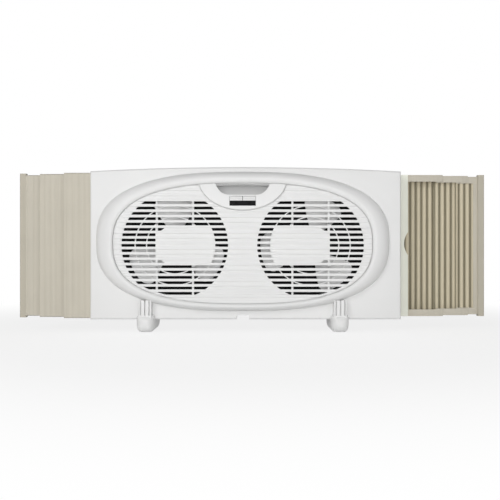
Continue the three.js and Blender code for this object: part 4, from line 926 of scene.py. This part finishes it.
def slot_outlines(fan_x, outward):
    """Outlines of the slots in front of one fan."""
    sizes = settings().grille
    border = grown(grille_oval(), -sizes.border, -sizes.border)

    def arc(radius):
        return lambda z: math.sqrt(max(radius ** 2 - z ** 2, 0))

    rim = arc(sizes.opening)
    cover_edge = arc(sizes.outer_ring + sizes.ring_width / 2)
    hub_arc = arc(sizes.hub_cover)
    rib_outer = sizes.rib_offset + sizes.rib_width / 2
    rib_inner = sizes.rib_offset - sizes.rib_width / 2

    def outer(z):
        return min(rim(z), oval_reach(border, z) - sizes.fan_offset)

    outlines = []

    def slot(row, start, stop):
        low = row * sizes.pitch - sizes.slot / 2
        levels = [(low + sizes.slot * share, nip) for share, nip in SLOT_END]
        corners = [(start(z) + nip, z) for z, nip in levels]
        corners += [(stop(z) - nip, z) for z, nip in reversed(levels)]
        outlines.append([(fan_x + outward * across, z) for across, z in corners])

    rows = int((sizes.opening - sizes.slot) / sizes.pitch)
    for row in range(-rows, rows - CLOSED_TOP_ROWS + 1):
        if abs(row) > sizes.cover_rows:
            slot(row, lambda z: -rim(z), outer)
            continue
        slot(row, lambda z: rib_outer, outer)
        slot(row, lambda z: -rim(z), lambda z: -cover_edge(z))
        if hub_arc(abs(row) * sizes.pitch - sizes.slot / 2) < rib_inner - sizes.slot / 2:
            slot(row, hub_arc, lambda z: rib_inner)
    return outlines


def fan_places():
    offset = settings().grille.fan_offset
    return [(-offset, -1), (offset, 1)]


def ribs_and_rings(depth, with_rings):
    sizes = settings().grille
    back = grille_back()
    inset = settings().housing.ledge + RIB_CLEARANCE
    ledge = grown(grille_oval(), -inset, -inset)
    full = math.sqrt(sizes.opening ** 2 - sizes.rib_offset ** 2) + sizes.slot / 2
    half = sizes.rib_width / 2
    parts = []
    for fan_x, _ in fan_places():
        for side in (-1, 1):
            x = fan_x + side * sizes.rib_offset
            rise = oval_rise(ledge, abs(x) + half)
            parts.append(block(x - half, x + half, -min(full, rise - ledge.lift),
                               min(full, rise + ledge.lift), back + OVERLAP, back - depth))
        if with_rings:
            for radius in (sizes.inner_ring, sizes.outer_ring):
                inner, outer = radius - sizes.ring_width / 2, radius + sizes.ring_width / 2
                profile = [(inner, back + OVERLAP), (outer, back + OVERLAP),
                           (outer, back - depth), (inner, back - depth)]
                parts.append(turned(profile, fan_x, 0, ROUND_STEPS))
    return parts


def grille_top():
    return settings().housing.grille_lift + settings().housing.oval_height


def bezel_ellipse(extra):
    sizes = settings().grip
    height = grille_top() + sizes.centre
    turns = [math.tau * i / BEZEL_STEPS for i in range(BEZEL_STEPS)]
    return [((sizes.half_width + extra) * math.cos(turn),
             height + (sizes.drop + extra) * math.sin(turn)) for turn in turns]


def grille(rear):
    sizes = settings().grille
    front = settings().housing.crest + BEYOND
    back = grille_back() - BEYOND
    outlines = [outline for x, outward in fan_places() for outline in slot_outlines(x, outward)]
    face = carved(slatted_blank(), front_prisms(outlines, front, back))
    parts = [face, *ribs_and_rings(REAR_RIB_DEPTH if rear else sizes.rib_depth, not rear)]
    if not rear:
        carved(face, front_prisms([bezel_ellipse(sizes.edge_gap)], front, back))
    return merged(parts)


class WINDOWFAN_OT_grilles(bpy.types.Operator):
    """Builds the slatted grilles with rounded slats and clean slot ends"""

    bl_idname = "window_fan.grilles"
    bl_label = "Grilles"

    def execute(self, context):
        finished(grille(False), "grille_front", "housing", "front_grille", "white_plastic", 28)
        rear = to_rear(grille(True))
        finished(rear, "grille_rear", "housing", "rear_grille", "white_plastic", 28)
        return {"FINISHED"}


# ---------------------------------------------------------------- grip and knobs

GRIP_WALL = 1.8 * MM
GRIP_STEPS = 14
GRIP_BEND = 1 / 3  # share of their way in at which the recess's sides turn level
BEZEL_ROUND = 1.4 * MM
MARK_MARGIN = 0.6 * MM  # the painted shade runs this far into the recess's walls
KNOB_SEAT = 2.6 * MM  # face of the bezel to the plate that the knobs slide on
KNOB_DEPTH = 2 * MM
KNOB_SLOPE = 0.6 * MM  # lean of a knob's upper and lower edges
KNOB_DIP = 0.3 * MM  # hollow above and below its ridge
RIDGE_HEIGHT = 0.9 * MM
RIDGE_FOOT = 3.2  # half the knob's height over the half height of the ridge's foot
RIDGE_TOP = 0.45  # share of the foot's height left at the top of the ridge
KNOB_EDGE = 0.35 * MM
KNOB_STEM = 2 * MM  # half its thickness
KNOB_STEM_LENGTH = 6.3 * MM


def grip_top():
    """Height of the hand recess's ceiling."""
    return grille_top() - SEAT_GAP - settings().grip.grip_land


def grip_outline(extra):
    sizes = settings().grip
    top = grip_top() + extra
    bottom = top - sizes.grip_height - 2 * extra
    wide = sizes.grip_top + extra
    narrow = sizes.grip_floor + extra
    control = (wide - (wide - narrow) * GRIP_BEND, bottom)
    side = [(wide, top), *bend((wide, top), control, (narrow, bottom), GRIP_STEPS)]
    return [(-x, z) for x, z in side] + side[::-1]


def within_outline(outline, x, z):
    """Whether a place lies inside an outline."""
    inside = False
    for (x0, z0), (x1, z1) in zip(outline, outline[1:] + outline[:1]):
        if (z0 > z) != (z1 > z) and x < x0 + (z - z0) / (z1 - z0) * (x1 - x0):
            inside = not inside
    return inside


def noted(obj, name, value=0.0):
    """A mark for the finish, with one value on every point of a shape."""
    mark = obj.data.attributes.new(name, "FLOAT", "POINT").data
    for point in mark:
        point.value = value
    return mark


def mark_recess(obj):
    """Notes the hand recess behind its edge, for the painted shade inside it."""
    sizes = settings().grip
    outline = grip_outline(MARK_MARGIN)
    hollow = noted(obj, "hollow")
    for vertex in obj.data.vertices:
        place = vertex.co - MIDDLE
        deep = -place.y < sizes.face - sizes.wall - PAST
        ceiling = place.z > grip_top() - MARK_MARGIN / 2
        # Points deep in the recess and along its ceiling get the painted shade
        if (deep or ceiling) and within_outline(outline, place.x, place.z):
            hollow[vertex.index].value = 1


def control_middle():
    sizes = settings().grip
    top = grip_top() - sizes.grip_height - GRIP_WALL - sizes.control_land
    return top - sizes.control_height / 2


def grip_bezel():
    sizes = settings().grip
    ledge = settings().housing.ledge
    back = grille_back()

    def within(outline, front, rear, extra):
        """An outline drawn out, as far as it lies in the grille's oval."""
        edge = grown(grille_oval(), extra - SEAT_GAP, extra - SEAT_GAP)
        shape = front_prisms([outline], front, rear)
        oval = front_prisms([oval_corners(edge)], front + BEYOND, rear - BEYOND)
        return carved(shape, oval, "INTERSECT")

    face = within(bezel_ellipse(0), sizes.face, back, 0)
    rounded_front(face, sizes.face, BEZEL_ROUND, 4)
    carved(face, within(bezel_ellipse(-sizes.wall), sizes.face - sizes.wall, back - BEYOND,
                        -sizes.wall))
    grip_back = sizes.face - sizes.grip_depth
    cup = within(grip_outline(GRIP_WALL), sizes.face - sizes.wall + OVERLAP,
                 grip_back - GRIP_WALL, -ledge)
    carved(face, cup, "UNION")
    carved(face, within(grip_outline(0), sizes.face + BEYOND, grip_back, -ledge - GRIP_WALL))
    carved(face, front_prisms([grip_outline(0)], sizes.face + BEYOND, back))
    middle = control_middle()
    half_width, half_height = sizes.control_width / 2, sizes.control_height / 2
    carved(face, block(-half_width, half_width, middle - half_height, middle + half_height,
                       sizes.face + BEYOND, sizes.face - 2 * sizes.wall))
    mark_recess(face)
    flange = within(bezel_ellipse(ledge), back - SEAT_GAP, ledge_back(), -ledge)
    carved(flange, front_prisms([bezel_ellipse(-sizes.wall)], sizes.face, back - BEYOND))
    return merged([face, flange])


def knob(side):
    sizes = settings().grip
    width = (sizes.control_width - 2 * SLIDE_GAP - sizes.knob_split) / 2
    x = side * (width + sizes.knob_split) / 2
    rest = control_middle() + sizes.control_height / 2 - SLIDE_GAP - sizes.knob_height / 2
    back = sizes.face - KNOB_SEAT + SLIDE_GAP
    front = back + KNOB_DEPTH
    half = sizes.knob_height / 2
    foot_height = half / RIDGE_FOOT
    upper = [(back, half), (front, half - KNOB_SLOPE), (front - KNOB_DIP, foot_height),
             (front + RIDGE_HEIGHT, foot_height * RIDGE_TOP)]
    profile = [(depth, rest + z) for depth, z in upper]
    profile += [(depth, rest - z) for depth, z in reversed(upper)]
    cap = bevelled(side_prism(profile, x - width / 2, x + width / 2), KNOB_EDGE, 3, 25)
    stem = block(x - KNOB_STEM, x + KNOB_STEM, rest - KNOB_STEM, rest + KNOB_STEM,
                 back + OVERLAP, back - KNOB_STEM_LENGTH)
    return merged([cap, stem])


class WINDOWFAN_OT_grip(bpy.types.Operator):
    """Builds the bezel with the hand recess, and the two slide knobs"""

    bl_idname = "window_fan.grip"
    bl_label = "Grip and knobs"

    def execute(self, context):
        finished(grip_bezel(), "grip_bezel", "housing", "control_bezel", "white_plastic")
        finished(knob(-1), "speed_knob", "speed_slider", "speed_slider", "white_plastic")
        finished(knob(1), "direction_knob", "direction_slider", "direction_slider",
                 "white_plastic")
        return {"FINISHED"}


# ---------------------------------------------------------------- rotors

BLADES = 3
BLADE_COLUMNS, BLADE_ROWS = 26, 18
COLUMN_GATHER = 1.3  # columns lie closer towards the tip
ROOT_NARROWING = 0.3  # share of the span that is missing at the root
WIDEST = 0.6  # share of the way to the tip where a blade has its full span
TIP_START = 0.78  # share of the way where its corners begin to round
TIP_ROUND = 0.62
CAMBER = 0.12  # share of the rise
BLADE_SLIMMER = 0.9  # share of its thickness, for the edges' bevel
BLADE_EDGE = 0.7 * MM
BLADE_CLEARANCE = 3.5 * MM  # ribs of the grille to the blades
HUB_NOSE = 1 * MM  # hub in front of the blades
BOSS_SHORTER = 8 * MM  # boss before the open back of the hub
# Rounded edges of the hub's face: how far from the boss or the rim, and how deep
DISH_EDGE = ((1.6 * MM, 0.6 * MM), (2.4 * MM, 0))
HUB_EDGE = ((4 * MM, 0), (1.6 * MM, 0.8 * MM), (0.5 * MM, 2 * MM), (0, 4 * MM))


def blade(fan_x, front, turn):
    """A grid bent into one blade, then given its thickness."""
    sizes = settings().rotor
    clear()
    bpy.ops.mesh.primitive_grid_add(
        x_subdivisions=BLADE_COLUMNS, y_subdivisions=BLADE_ROWS, size=2
    )
    obj = bpy.context.active_object
    root = sizes.hub - sizes.hub_wall / 2
    for vertex in obj.data.vertices:
        along = (vertex.co.x + 1) / 2
        across = vertex.co.y / 2
        share = 1 - (1 - along) ** COLUMN_GATHER
        radius = root + (sizes.radius - root) * share
        taper = 1 - ROOT_NARROWING * (1 - min(share / WIDEST, 1)) ** 2
        tip = math.sqrt(1 - TIP_ROUND * max((share - TIP_START) / (1 - TIP_START), 0) ** 2)
        angle = turn + across * sizes.span * taper * tip
        rise = sizes.rise * (1 - (1 - sizes.tip_share) * share) - sizes.thickness
        camber = CAMBER * rise * (1 - 4 * across ** 2)
        depth = front - sizes.rise / 2 + across * rise + camber
        vertex.co = at(fan_x + radius * math.cos(angle), radius * math.sin(angle), depth)
    modified(obj, "SOLIDIFY", thickness=sizes.thickness * BLADE_SLIMMER, offset=0)
    edit(obj)
    settle()
    return bevelled(obj, BLADE_EDGE, degrees=50)


def rotor(fan_x, turn):
    sizes = settings().rotor
    front = ledge_back() - settings().grille.rib_depth - BLADE_CLEARANCE
    nose = front + HUB_NOSE
    back = nose - sizes.hub_depth
    bore = sizes.shaft + SEAT_GAP
    dish = nose - sizes.clip
    inner = sizes.hub - sizes.hub_wall
    profile = [(bore, dish), (sizes.boss, dish)]
    profile += [(sizes.boss + out, nose - deep) for out, deep in DISH_EDGE]
    profile += [(sizes.hub - out, nose - deep) for out, deep in HUB_EDGE]
    profile += [(sizes.hub, back), (inner, back), (inner, dish - sizes.hub_wall),
                (sizes.boss, dish - sizes.hub_wall), (sizes.boss, back + BOSS_SHORTER),
                (bore, back + BOSS_SHORTER)]
    hub = turned(profile, fan_x, 0, ROUND_STEPS)
    blades = [blade(fan_x, front, turn + math.tau * i / BLADES) for i in range(BLADES)]
    return merged([hub, *blades])


class WINDOWFAN_OT_rotors(bpy.types.Operator):
    """Builds the two rotors with smooth twisted blades"""

    bl_idname = "window_fan.rotors"
    bl_label = "Rotors"

    def execute(self, context):
        sizes = settings().rotor
        offset = settings().grille.fan_offset
        finished(rotor(-offset, sizes.left_angle), "rotor_left", "left_fan", "left_rotor",
                 "blade_plastic", 40)
        finished(rotor(offset, sizes.right_angle), "rotor_right", "right_fan", "right_rotor",
                 "blade_plastic", 40)
        return {"FINISHED"}


# ---------------------------------------------------------------- filler panels

LEAF_NAMES = ("inner", "middle", "outer")
LAST = len(LEAF_NAMES) - 1
LINE_RUN = 0.7 * MM  # half the width of a fine line
LINE_START = 3 * MM  # outer end of a leaf to the first place for a line
SEAM = 0.3 * MM  # stile to the face beside it
RIB_STEPS = 10
RIB_POWER = 0.75  # how full a rib's section is
NEAR_FACE = -0.01  # points with a smaller share of the ribs' depth aren't marked
STILE_STEPS = 6
STILE_WALL = 1.8 * MM
LIP_EDGE = 0.35 * MM
LIP_STEP = 0.1 * MM  # stile's lip behind the leaf's, so that no two faces meet in one plane


def leaf_depths(n):
    """Front, back and half height of the n-th leaf."""
    sizes = settings().panel
    housing = settings().housing
    front = sizes.front - n * (sizes.wall + sizes.rib_depth + SLIDE_GAP)
    back = sizes.back + n * (sizes.lip + SLIDE_GAP)
    half = housing.half_height - housing.wall - SLIDE_GAP - n * (sizes.wall + SLIDE_GAP)
    return front, back, half


def leaf_comb(n, start, width):
    """Section of a leaf's face: fine lines in front, rounded ribs behind."""
    sizes = settings().panel
    front, _, _ = leaf_depths(n)
    face_back = front - sizes.wall
    half = sizes.rib_width / 2
    first = sizes.first_valley[n]
    valleys = [first + i * sizes.rib_pitch for i in range(int(width / sizes.rib_pitch) + 1)]
    lines = [x for x in valleys if start + LINE_START < x < width - PAST]
    ribs = []
    for x in valleys:
        middle = x + sizes.rib_pitch / 2
        low, high = max(middle - half, start + SEAT_GAP), min(middle + half, width - SEAT_GAP)
        if high - low > half / 2:
            ribs.append((low, high))
    corners = [(width, front)]
    for x in reversed(lines):
        corners += [(x + LINE_RUN, front), (x, front - sizes.line_depth), (x - LINE_RUN, front)]
    if n == LAST:
        seam = sizes.stile + SEAM
        corners += [(seam, front), (seam, front - sizes.line_depth),
                    (start, front - sizes.line_depth)]
    else:
        corners.append((start, front))
    corners.append((start, face_back))
    for low, high in ribs:
        for j in range(RIB_STEPS + 1):
            turn = math.pi * j / RIB_STEPS
            corners.append(((low + high) / 2 - (high - low) / 2 * math.cos(turn),
                            face_back - sizes.rib_depth * math.sin(turn) ** RIB_POWER))
    corners.append((width, face_back))
    return corners


def mark_ribs(comb, face_back):
    """Notes how far each point lies from a rib's root towards its crest, for the painted light on
    the crests and the painted shade at the roots.
    """
    ridge, valley = noted(comb, "ridge"), noted(comb, "valley")
    depth = settings().panel.rib_depth
    for vertex in comb.data.vertices:
        share = (vertex.co.y + face_back) / depth
        if share > NEAR_FACE:
            # painted light grows towards the crests, painted shade towards the roots
            ridge[vertex.index].value = share
            valley[vertex.index].value = (1 - min(share, 1)) ** 2


def leaf_rail(n, side, start, width):
    sizes = settings().panel
    front, back, top = leaf_depths(n)
    lip_front = back + sizes.lip
    outline = [(front, side * (top - sizes.wall)), (front, side * top), (back, side * top),
               (back, side * (top - sizes.lip_height)), (lip_front, side * (top - sizes.lip_height)),
               (lip_front, side * (top - sizes.wall))]
    return bevelled(side_prism(outline, start, width), LIP_EDGE, 2)


def stile(front, back, half):
    """The end post of the last leaf, empty inside, as tall and deep as the first leaf."""
    sizes = settings().panel
    _, first_back, tall = leaf_depths(0)
    edge = sizes.stile_round
    corners = [(sizes.stile, front), (sizes.stile, first_back)]
    for centre, first_step in ((first_back + edge, 0), (front - edge, STILE_STEPS)):
        for j in range(STILE_STEPS + 1):
            turn = quarter(first_step + j, STILE_STEPS)
            corners.append((edge - edge * math.sin(turn), centre - edge * math.cos(turn)))
    post = upright_prism(corners, -tall, tall)
    carved(post, block(STILE_WALL, sizes.stile - STILE_WALL, -tall + STILE_WALL,
                       tall - STILE_WALL, front - STILE_WALL, first_back + STILE_WALL))
    # the whole stile is darkened evenly towards the colour painted as shade between the ribs
    noted(post, "valley", sizes.stile_shade)
    inner = half - sizes.wall
    return carved(post, block(STILE_WALL + PAST, sizes.stile + PAST, -inner, inner,
                              front - sizes.wall, back + sizes.lip))


def leaf(n, width):
    sizes = settings().panel
    front, back, half = leaf_depths(n)
    start = 0 if n < LAST else sizes.stile - STILE_WALL
    comb = upright_prism(leaf_comb(n, start, width), -half + OVERLAP, half - OVERLAP)
    mark_ribs(comb, front - sizes.wall)
    parts = [comb, leaf_rail(n, 1, start, width), leaf_rail(n, -1, start, width)]
    if n == LAST:
        inner = half - sizes.wall
        parts.append(stile(front, back, half))
        lip = block(start, sizes.stile_lip, -inner, inner, back + sizes.lip - LIP_STEP,
                    back + LIP_STEP)
        parts.append(bevelled(lip, LIP_EDGE, 2))
    return merged(parts)


class WINDOWFAN_OT_panels(bpy.types.Operator):
    """Builds the six filler leaves with rounded ribs and fine lines"""

    bl_idname = "window_fan.panels"
    bl_label = "Filler panels"

    def execute(self, context):
        for n, word in enumerate(LEAF_NAMES):
            for side in ("left", "right"):
                node = f"{side}_panel_{word}_leaf"
                low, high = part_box(node)
                shape = leaf(n, high.x - low.x)
                if side == "left":
                    shifted(shape, low.x - MIDDLE.x)
                else:
                    shifted(to_rear(shape), high.x - MIDDLE.x)
                finished(shape, f"{side}_{word}_filler", f"{side}_{word}_leaf", node,
                         "beige_plastic", 35)
        return {"FINISHED"}


# ---------------------------------------------------------------- feet

CHEEK_STEPS = 8
DOME_STEPS = 10
STEM_STEEPNESS = 2.6  # depth of the stem over the rise of its sloping top
STEM_EDGE = 1.2 * MM
STEM_GROOVES = 3
GROOVE_START = 3 * MM  # below the top of the toe


def foot_outline(top, round_top):
    sizes = settings().foot
    half = sizes.width / 2
    sole = -MIDDLE.z
    right = [(sizes.sole / 2, sole)]
    right += bend(right[0], (half, sole), (half, sole + half), CHEEK_STEPS)
    if not round_top:
        right.append((half, sole + top))
        return right + [(-x, z) for x, z in reversed(right)]
    shoulder, crown = (half, sole + top - half / 2), (0, sole + top)
    right += [shoulder, *bend(shoulder, (half, sole + top), crown, CHEEK_STEPS)[:-1]]
    return right + [crown] + [(-x, z) for x, z in reversed(right)]


def domed(outline, middle, back, depth, power):
    """An outline that draws in towards a rounded front."""
    obj = polygon([at(x, z, back) for x, z in outline])
    edit(obj)
    scale, reached = 1, 0
    for i in range(1, DOME_STEPS + 1):
        turn = quarter(i, DOME_STEPS + 0.5)  # the last ring is left a little open
        next_scale = math.cos(turn) ** (2 / power)
        next_reached = depth * math.sin(turn) ** (2 / power)
        if i == DOME_STEPS:
            next_reached = depth
        bpy.ops.mesh.extrude_region_move(
            TRANSFORM_OT_translate={"value": (0, reached - next_reached, 0)}
        )
        share = next_scale / scale
        bpy.ops.transform.resize(value=(share, 1, share),
                                 center_override=at(0, middle, back + next_reached))
        scale, reached = next_scale, next_reached
    settle()
    return obj


def foot():
    sizes = settings().foot
    housing = settings().housing
    back = housing.plate + SLIDE_GAP
    reach = back + OVERLAP
    inner = sizes.offset - sizes.stem_width / 2
    skirt_foot = housing.skirt_lift - oval_rise(skirt_oval(), inner) - SLIDE_GAP
    bottom = sizes.drop - MIDDLE.z
    front = back + sizes.stem_depth
    top = skirt_foot + sizes.stem_depth / STEM_STEEPNESS
    half = sizes.groove / 2
    parts = [front_prisms([foot_outline(sizes.drop - SEAT_GAP, False)], reach, -reach)]
    for rear in (False, True):
        toe = domed(foot_outline(sizes.toe_height, True), sizes.toe_height / 2 - MIDDLE.z, back,
                    sizes.toe, sizes.toe_power)
        stem = side_prism([(back, bottom), (back, skirt_foot), (front, top), (front, bottom)],
                          -sizes.stem_width / 2, sizes.stem_width / 2)
        bevelled(stem, STEM_EDGE)
        for i in range(STEM_GROOVES):
            x = sizes.stem_width * ((i + 0.5) / STEM_GROOVES - 0.5)
            carved(stem, block(x - half, x + half, sizes.toe_height - MIDDLE.z - GROOVE_START,
                               top + PAST, front + PAST, front - sizes.groove_depth))
        upright = merged([toe, stem])
        parts.append(to_rear(upright) if rear else upright)
    return merged(parts)


class WINDOWFAN_OT_feet(bpy.types.Operator):
    """Builds the two push-on feet with rounded toes and grooved stems"""

    bl_idname = "window_fan.feet"
    bl_label = "Feet"

    def execute(self, context):
        offset = settings().foot.offset
        for side, sign in (("left", -1), ("right", 1)):
            shape = shifted(foot(), sign * offset)
            finished(shape, f"{side}_push_on_foot", f"{side}_foot", f"{side}_foot",
                     "white_plastic")
        return {"FINISHED"}


# ---------------------------------------------------------------- finishes of carried nodes


class WINDOWFAN_OT_finishes(bpy.types.Operator):
    """Makes the finishes and gives every carried node its own"""

    bl_idname = "window_fan.finishes"
    bl_label = "Finishes"

    def execute(self, context):
        make_finishes()
        slots = {row["node"]: row["material_slot"] for row in frame["record"]["subparts"]}
        for name, obj in frame["nodes"].items():
            obj.data.materials.clear()
            obj.data.materials.append(FINISHES[slots[name]])
        return {"FINISHED"}


# ---------------------------------------------------------------- studio

WHITE = (1, 1, 1, 1)
FLOOR_SIZE = 60
FLOOR_DROP = 0.5 * MM  # below the soles
PAPER = (0.93, 0.93, 0.93, 1)
FADE_START, FADE_STOP = 0.5, 1.1  # metres from the middle over which the shadow fades out
SENSOR = 36
# Each lamp's place, what it points at, and its width and height
LAMPS = {
    "key": ((-1.1, -2.0, 1.1), (-0.1, 0, 0.17), (0.9, 0.9)),
    "front": ((0.0, -2.6, 0.2), (0.05, 0, 0.17), (1.2, 0.3)),
    "fill": ((1.4, -1.7, 0.7), (0.1, 0, 0.17), (1.2, 1.2)),
}


def area_lamp(name, place, target, size, power):
    clear()
    bpy.ops.object.light_add(type="AREA", location=place)
    lamp = bpy.context.active_object
    lamp.name = name
    lamp.data.shape = "RECTANGLE"
    lamp.data.size, lamp.data.size_y = size
    lamp.data.energy = power
    direction = Vector(target) - Vector(place)
    lamp.rotation_euler = direction.to_track_quat("-Z", "Y").to_euler()


def paper_floor():
    """A pale floor that keeps the shadow near the fan and is white farther off."""
    stage = settings().stage
    clear()
    bpy.ops.mesh.primitive_plane_add(size=FLOOR_SIZE, location=(0, 0, -FLOOR_DROP))
    floor = bpy.context.active_object
    floor.name = "studio_floor"
    paper = Finish("studio_paper")
    paper.give("Base Color", PAPER)
    paper.give("Roughness", 0.9)
    paper.give("Specular IOR Level", 0.1)
    glow = paper.node("ShaderNodeEmission", None, {"Strength": 1.0})
    rays = paper.node("ShaderNodeLightPath").outputs
    seen = Signal(paper, rays["Is Camera Ray"]) + Signal(paper, rays["Is Glossy Ray"])
    far = paper.node("ShaderNodeVectorMath", {"operation": "LENGTH"}, {0: paper.place})
    fade = paper.node(
        "ShaderNodeMapRange", {"interpolation_type": "SMOOTHSTEP"},
        {"Value": far.outputs["Value"], "From Min": FADE_START, "From Max": FADE_STOP,
         "To Min": stage.floor_glow, "To Max": 1.0},
    )
    share = seen * Signal(paper, fade.outputs[0])
    blend = paper.node("ShaderNodeMixShader", None,
                       {0: share, 1: paper.surface.outputs[0], 2: glow.outputs[0]})
    paper.feed(paper.tree.nodes["Material Output"].inputs[0], blend.outputs[0])
    floor.data.materials.append(paper.material)


def room_light():
    """A white background that lights the fan more weakly than it looks."""
    world = bpy.data.worlds.new("studio_room")
    bpy.context.scene.world = world
    world.use_nodes = True
    room = Nodes(world.node_tree)
    light = room.tree.nodes["Background"]
    light.inputs[0].default_value = WHITE
    light.inputs[1].default_value = settings().stage.sky
    white = room.node("ShaderNodeBackground", None, {0: WHITE, 1: 1.0})
    rays = room.node("ShaderNodeLightPath").outputs
    seen = room.node("ShaderNodeMath", {"operation": "MAXIMUM"},
                     {0: rays["Is Camera Ray"], 1: rays["Is Transmission Ray"]})
    choose = room.node("ShaderNodeMixShader", None,
                       {0: seen.outputs[0], 1: light.outputs[0], 2: white.outputs[0]})
    room.feed(room.tree.nodes["World Output"].inputs[0], choose.outputs[0])


class WINDOWFAN_OT_stage(bpy.types.Operator):
    """Sets up the floor, the room light, the lamps and the camera"""

    bl_idname = "window_fan.stage"
    bl_label = "Stage"

    def execute(self, context):
        stage = settings().stage
        context.scene.view_settings.view_transform = "Standard"
        paper_floor()
        room_light()
        for name, (place, target, size) in LAMPS.items():
            area_lamp(f"{name}_lamp", place, target, size, getattr(stage, name))
        clear()
        bpy.ops.object.camera_add(
            location=(stage.side, -settings().housing.plate - stage.distance, stage.height),
            rotation=(math.pi / 2, 0, 0),
        )
        camera = context.active_object
        camera.data.lens = stage.lens
        camera.data.sensor_width = SENSOR
        camera.data.dof.use_dof = False
        context.scene.camera = camera
        return {"FINISHED"}


# ---------------------------------------------------------------- add-on

PIECES = (
    WINDOWFAN_OT_finishes,
    WINDOWFAN_OT_housing,
    WINDOWFAN_OT_grilles,
    WINDOWFAN_OT_grip,
    WINDOWFAN_OT_rotors,
    WINDOWFAN_OT_panels,
    WINDOWFAN_OT_feet,
    WINDOWFAN_OT_stage,
)


class WINDOWFAN_PT_sidebar(bpy.types.Panel):
    """Lists the pieces of the window fan"""

    bl_idname = "WINDOWFAN_PT_sidebar"
    bl_label = "Window Fan"
    bl_space_type = "VIEW_3D"
    bl_region_type = "UI"
    bl_category = "Window Fan"

    def draw(self, context):
        for piece in PIECES:
            self.layout.operator(piece.bl_idname)


GROUPS = (
    FanHousingSizes,
    FanGrilleSizes,
    FanGripSizes,
    FanRotorSizes,
    FanPanelSizes,
    FanFootSizes,
    FanFinishColours,
    FanStageSettings,
    WindowFanSettings,
)


def register():
    for group in (*GROUPS, *PIECES, WINDOWFAN_PT_sidebar):
        bpy.utils.register_class(group)
    bpy.types.Scene.window_fan = PointerProperty(type=WindowFanSettings)


def unregister():
    del bpy.types.Scene.window_fan
    for group in reversed((*GROUPS, *PIECES, WINDOWFAN_PT_sidebar)):
        bpy.utils.unregister_class(group)


def main():
    register()
    bpy.ops.window_fan.finishes()
    bpy.ops.window_fan.housing()
    bpy.ops.window_fan.grilles()
    bpy.ops.window_fan.grip()
    bpy.ops.window_fan.rotors()
    bpy.ops.window_fan.panels()
    bpy.ops.window_fan.feet()
    bpy.ops.window_fan.stage()


if __name__ == "__main__":
    main()
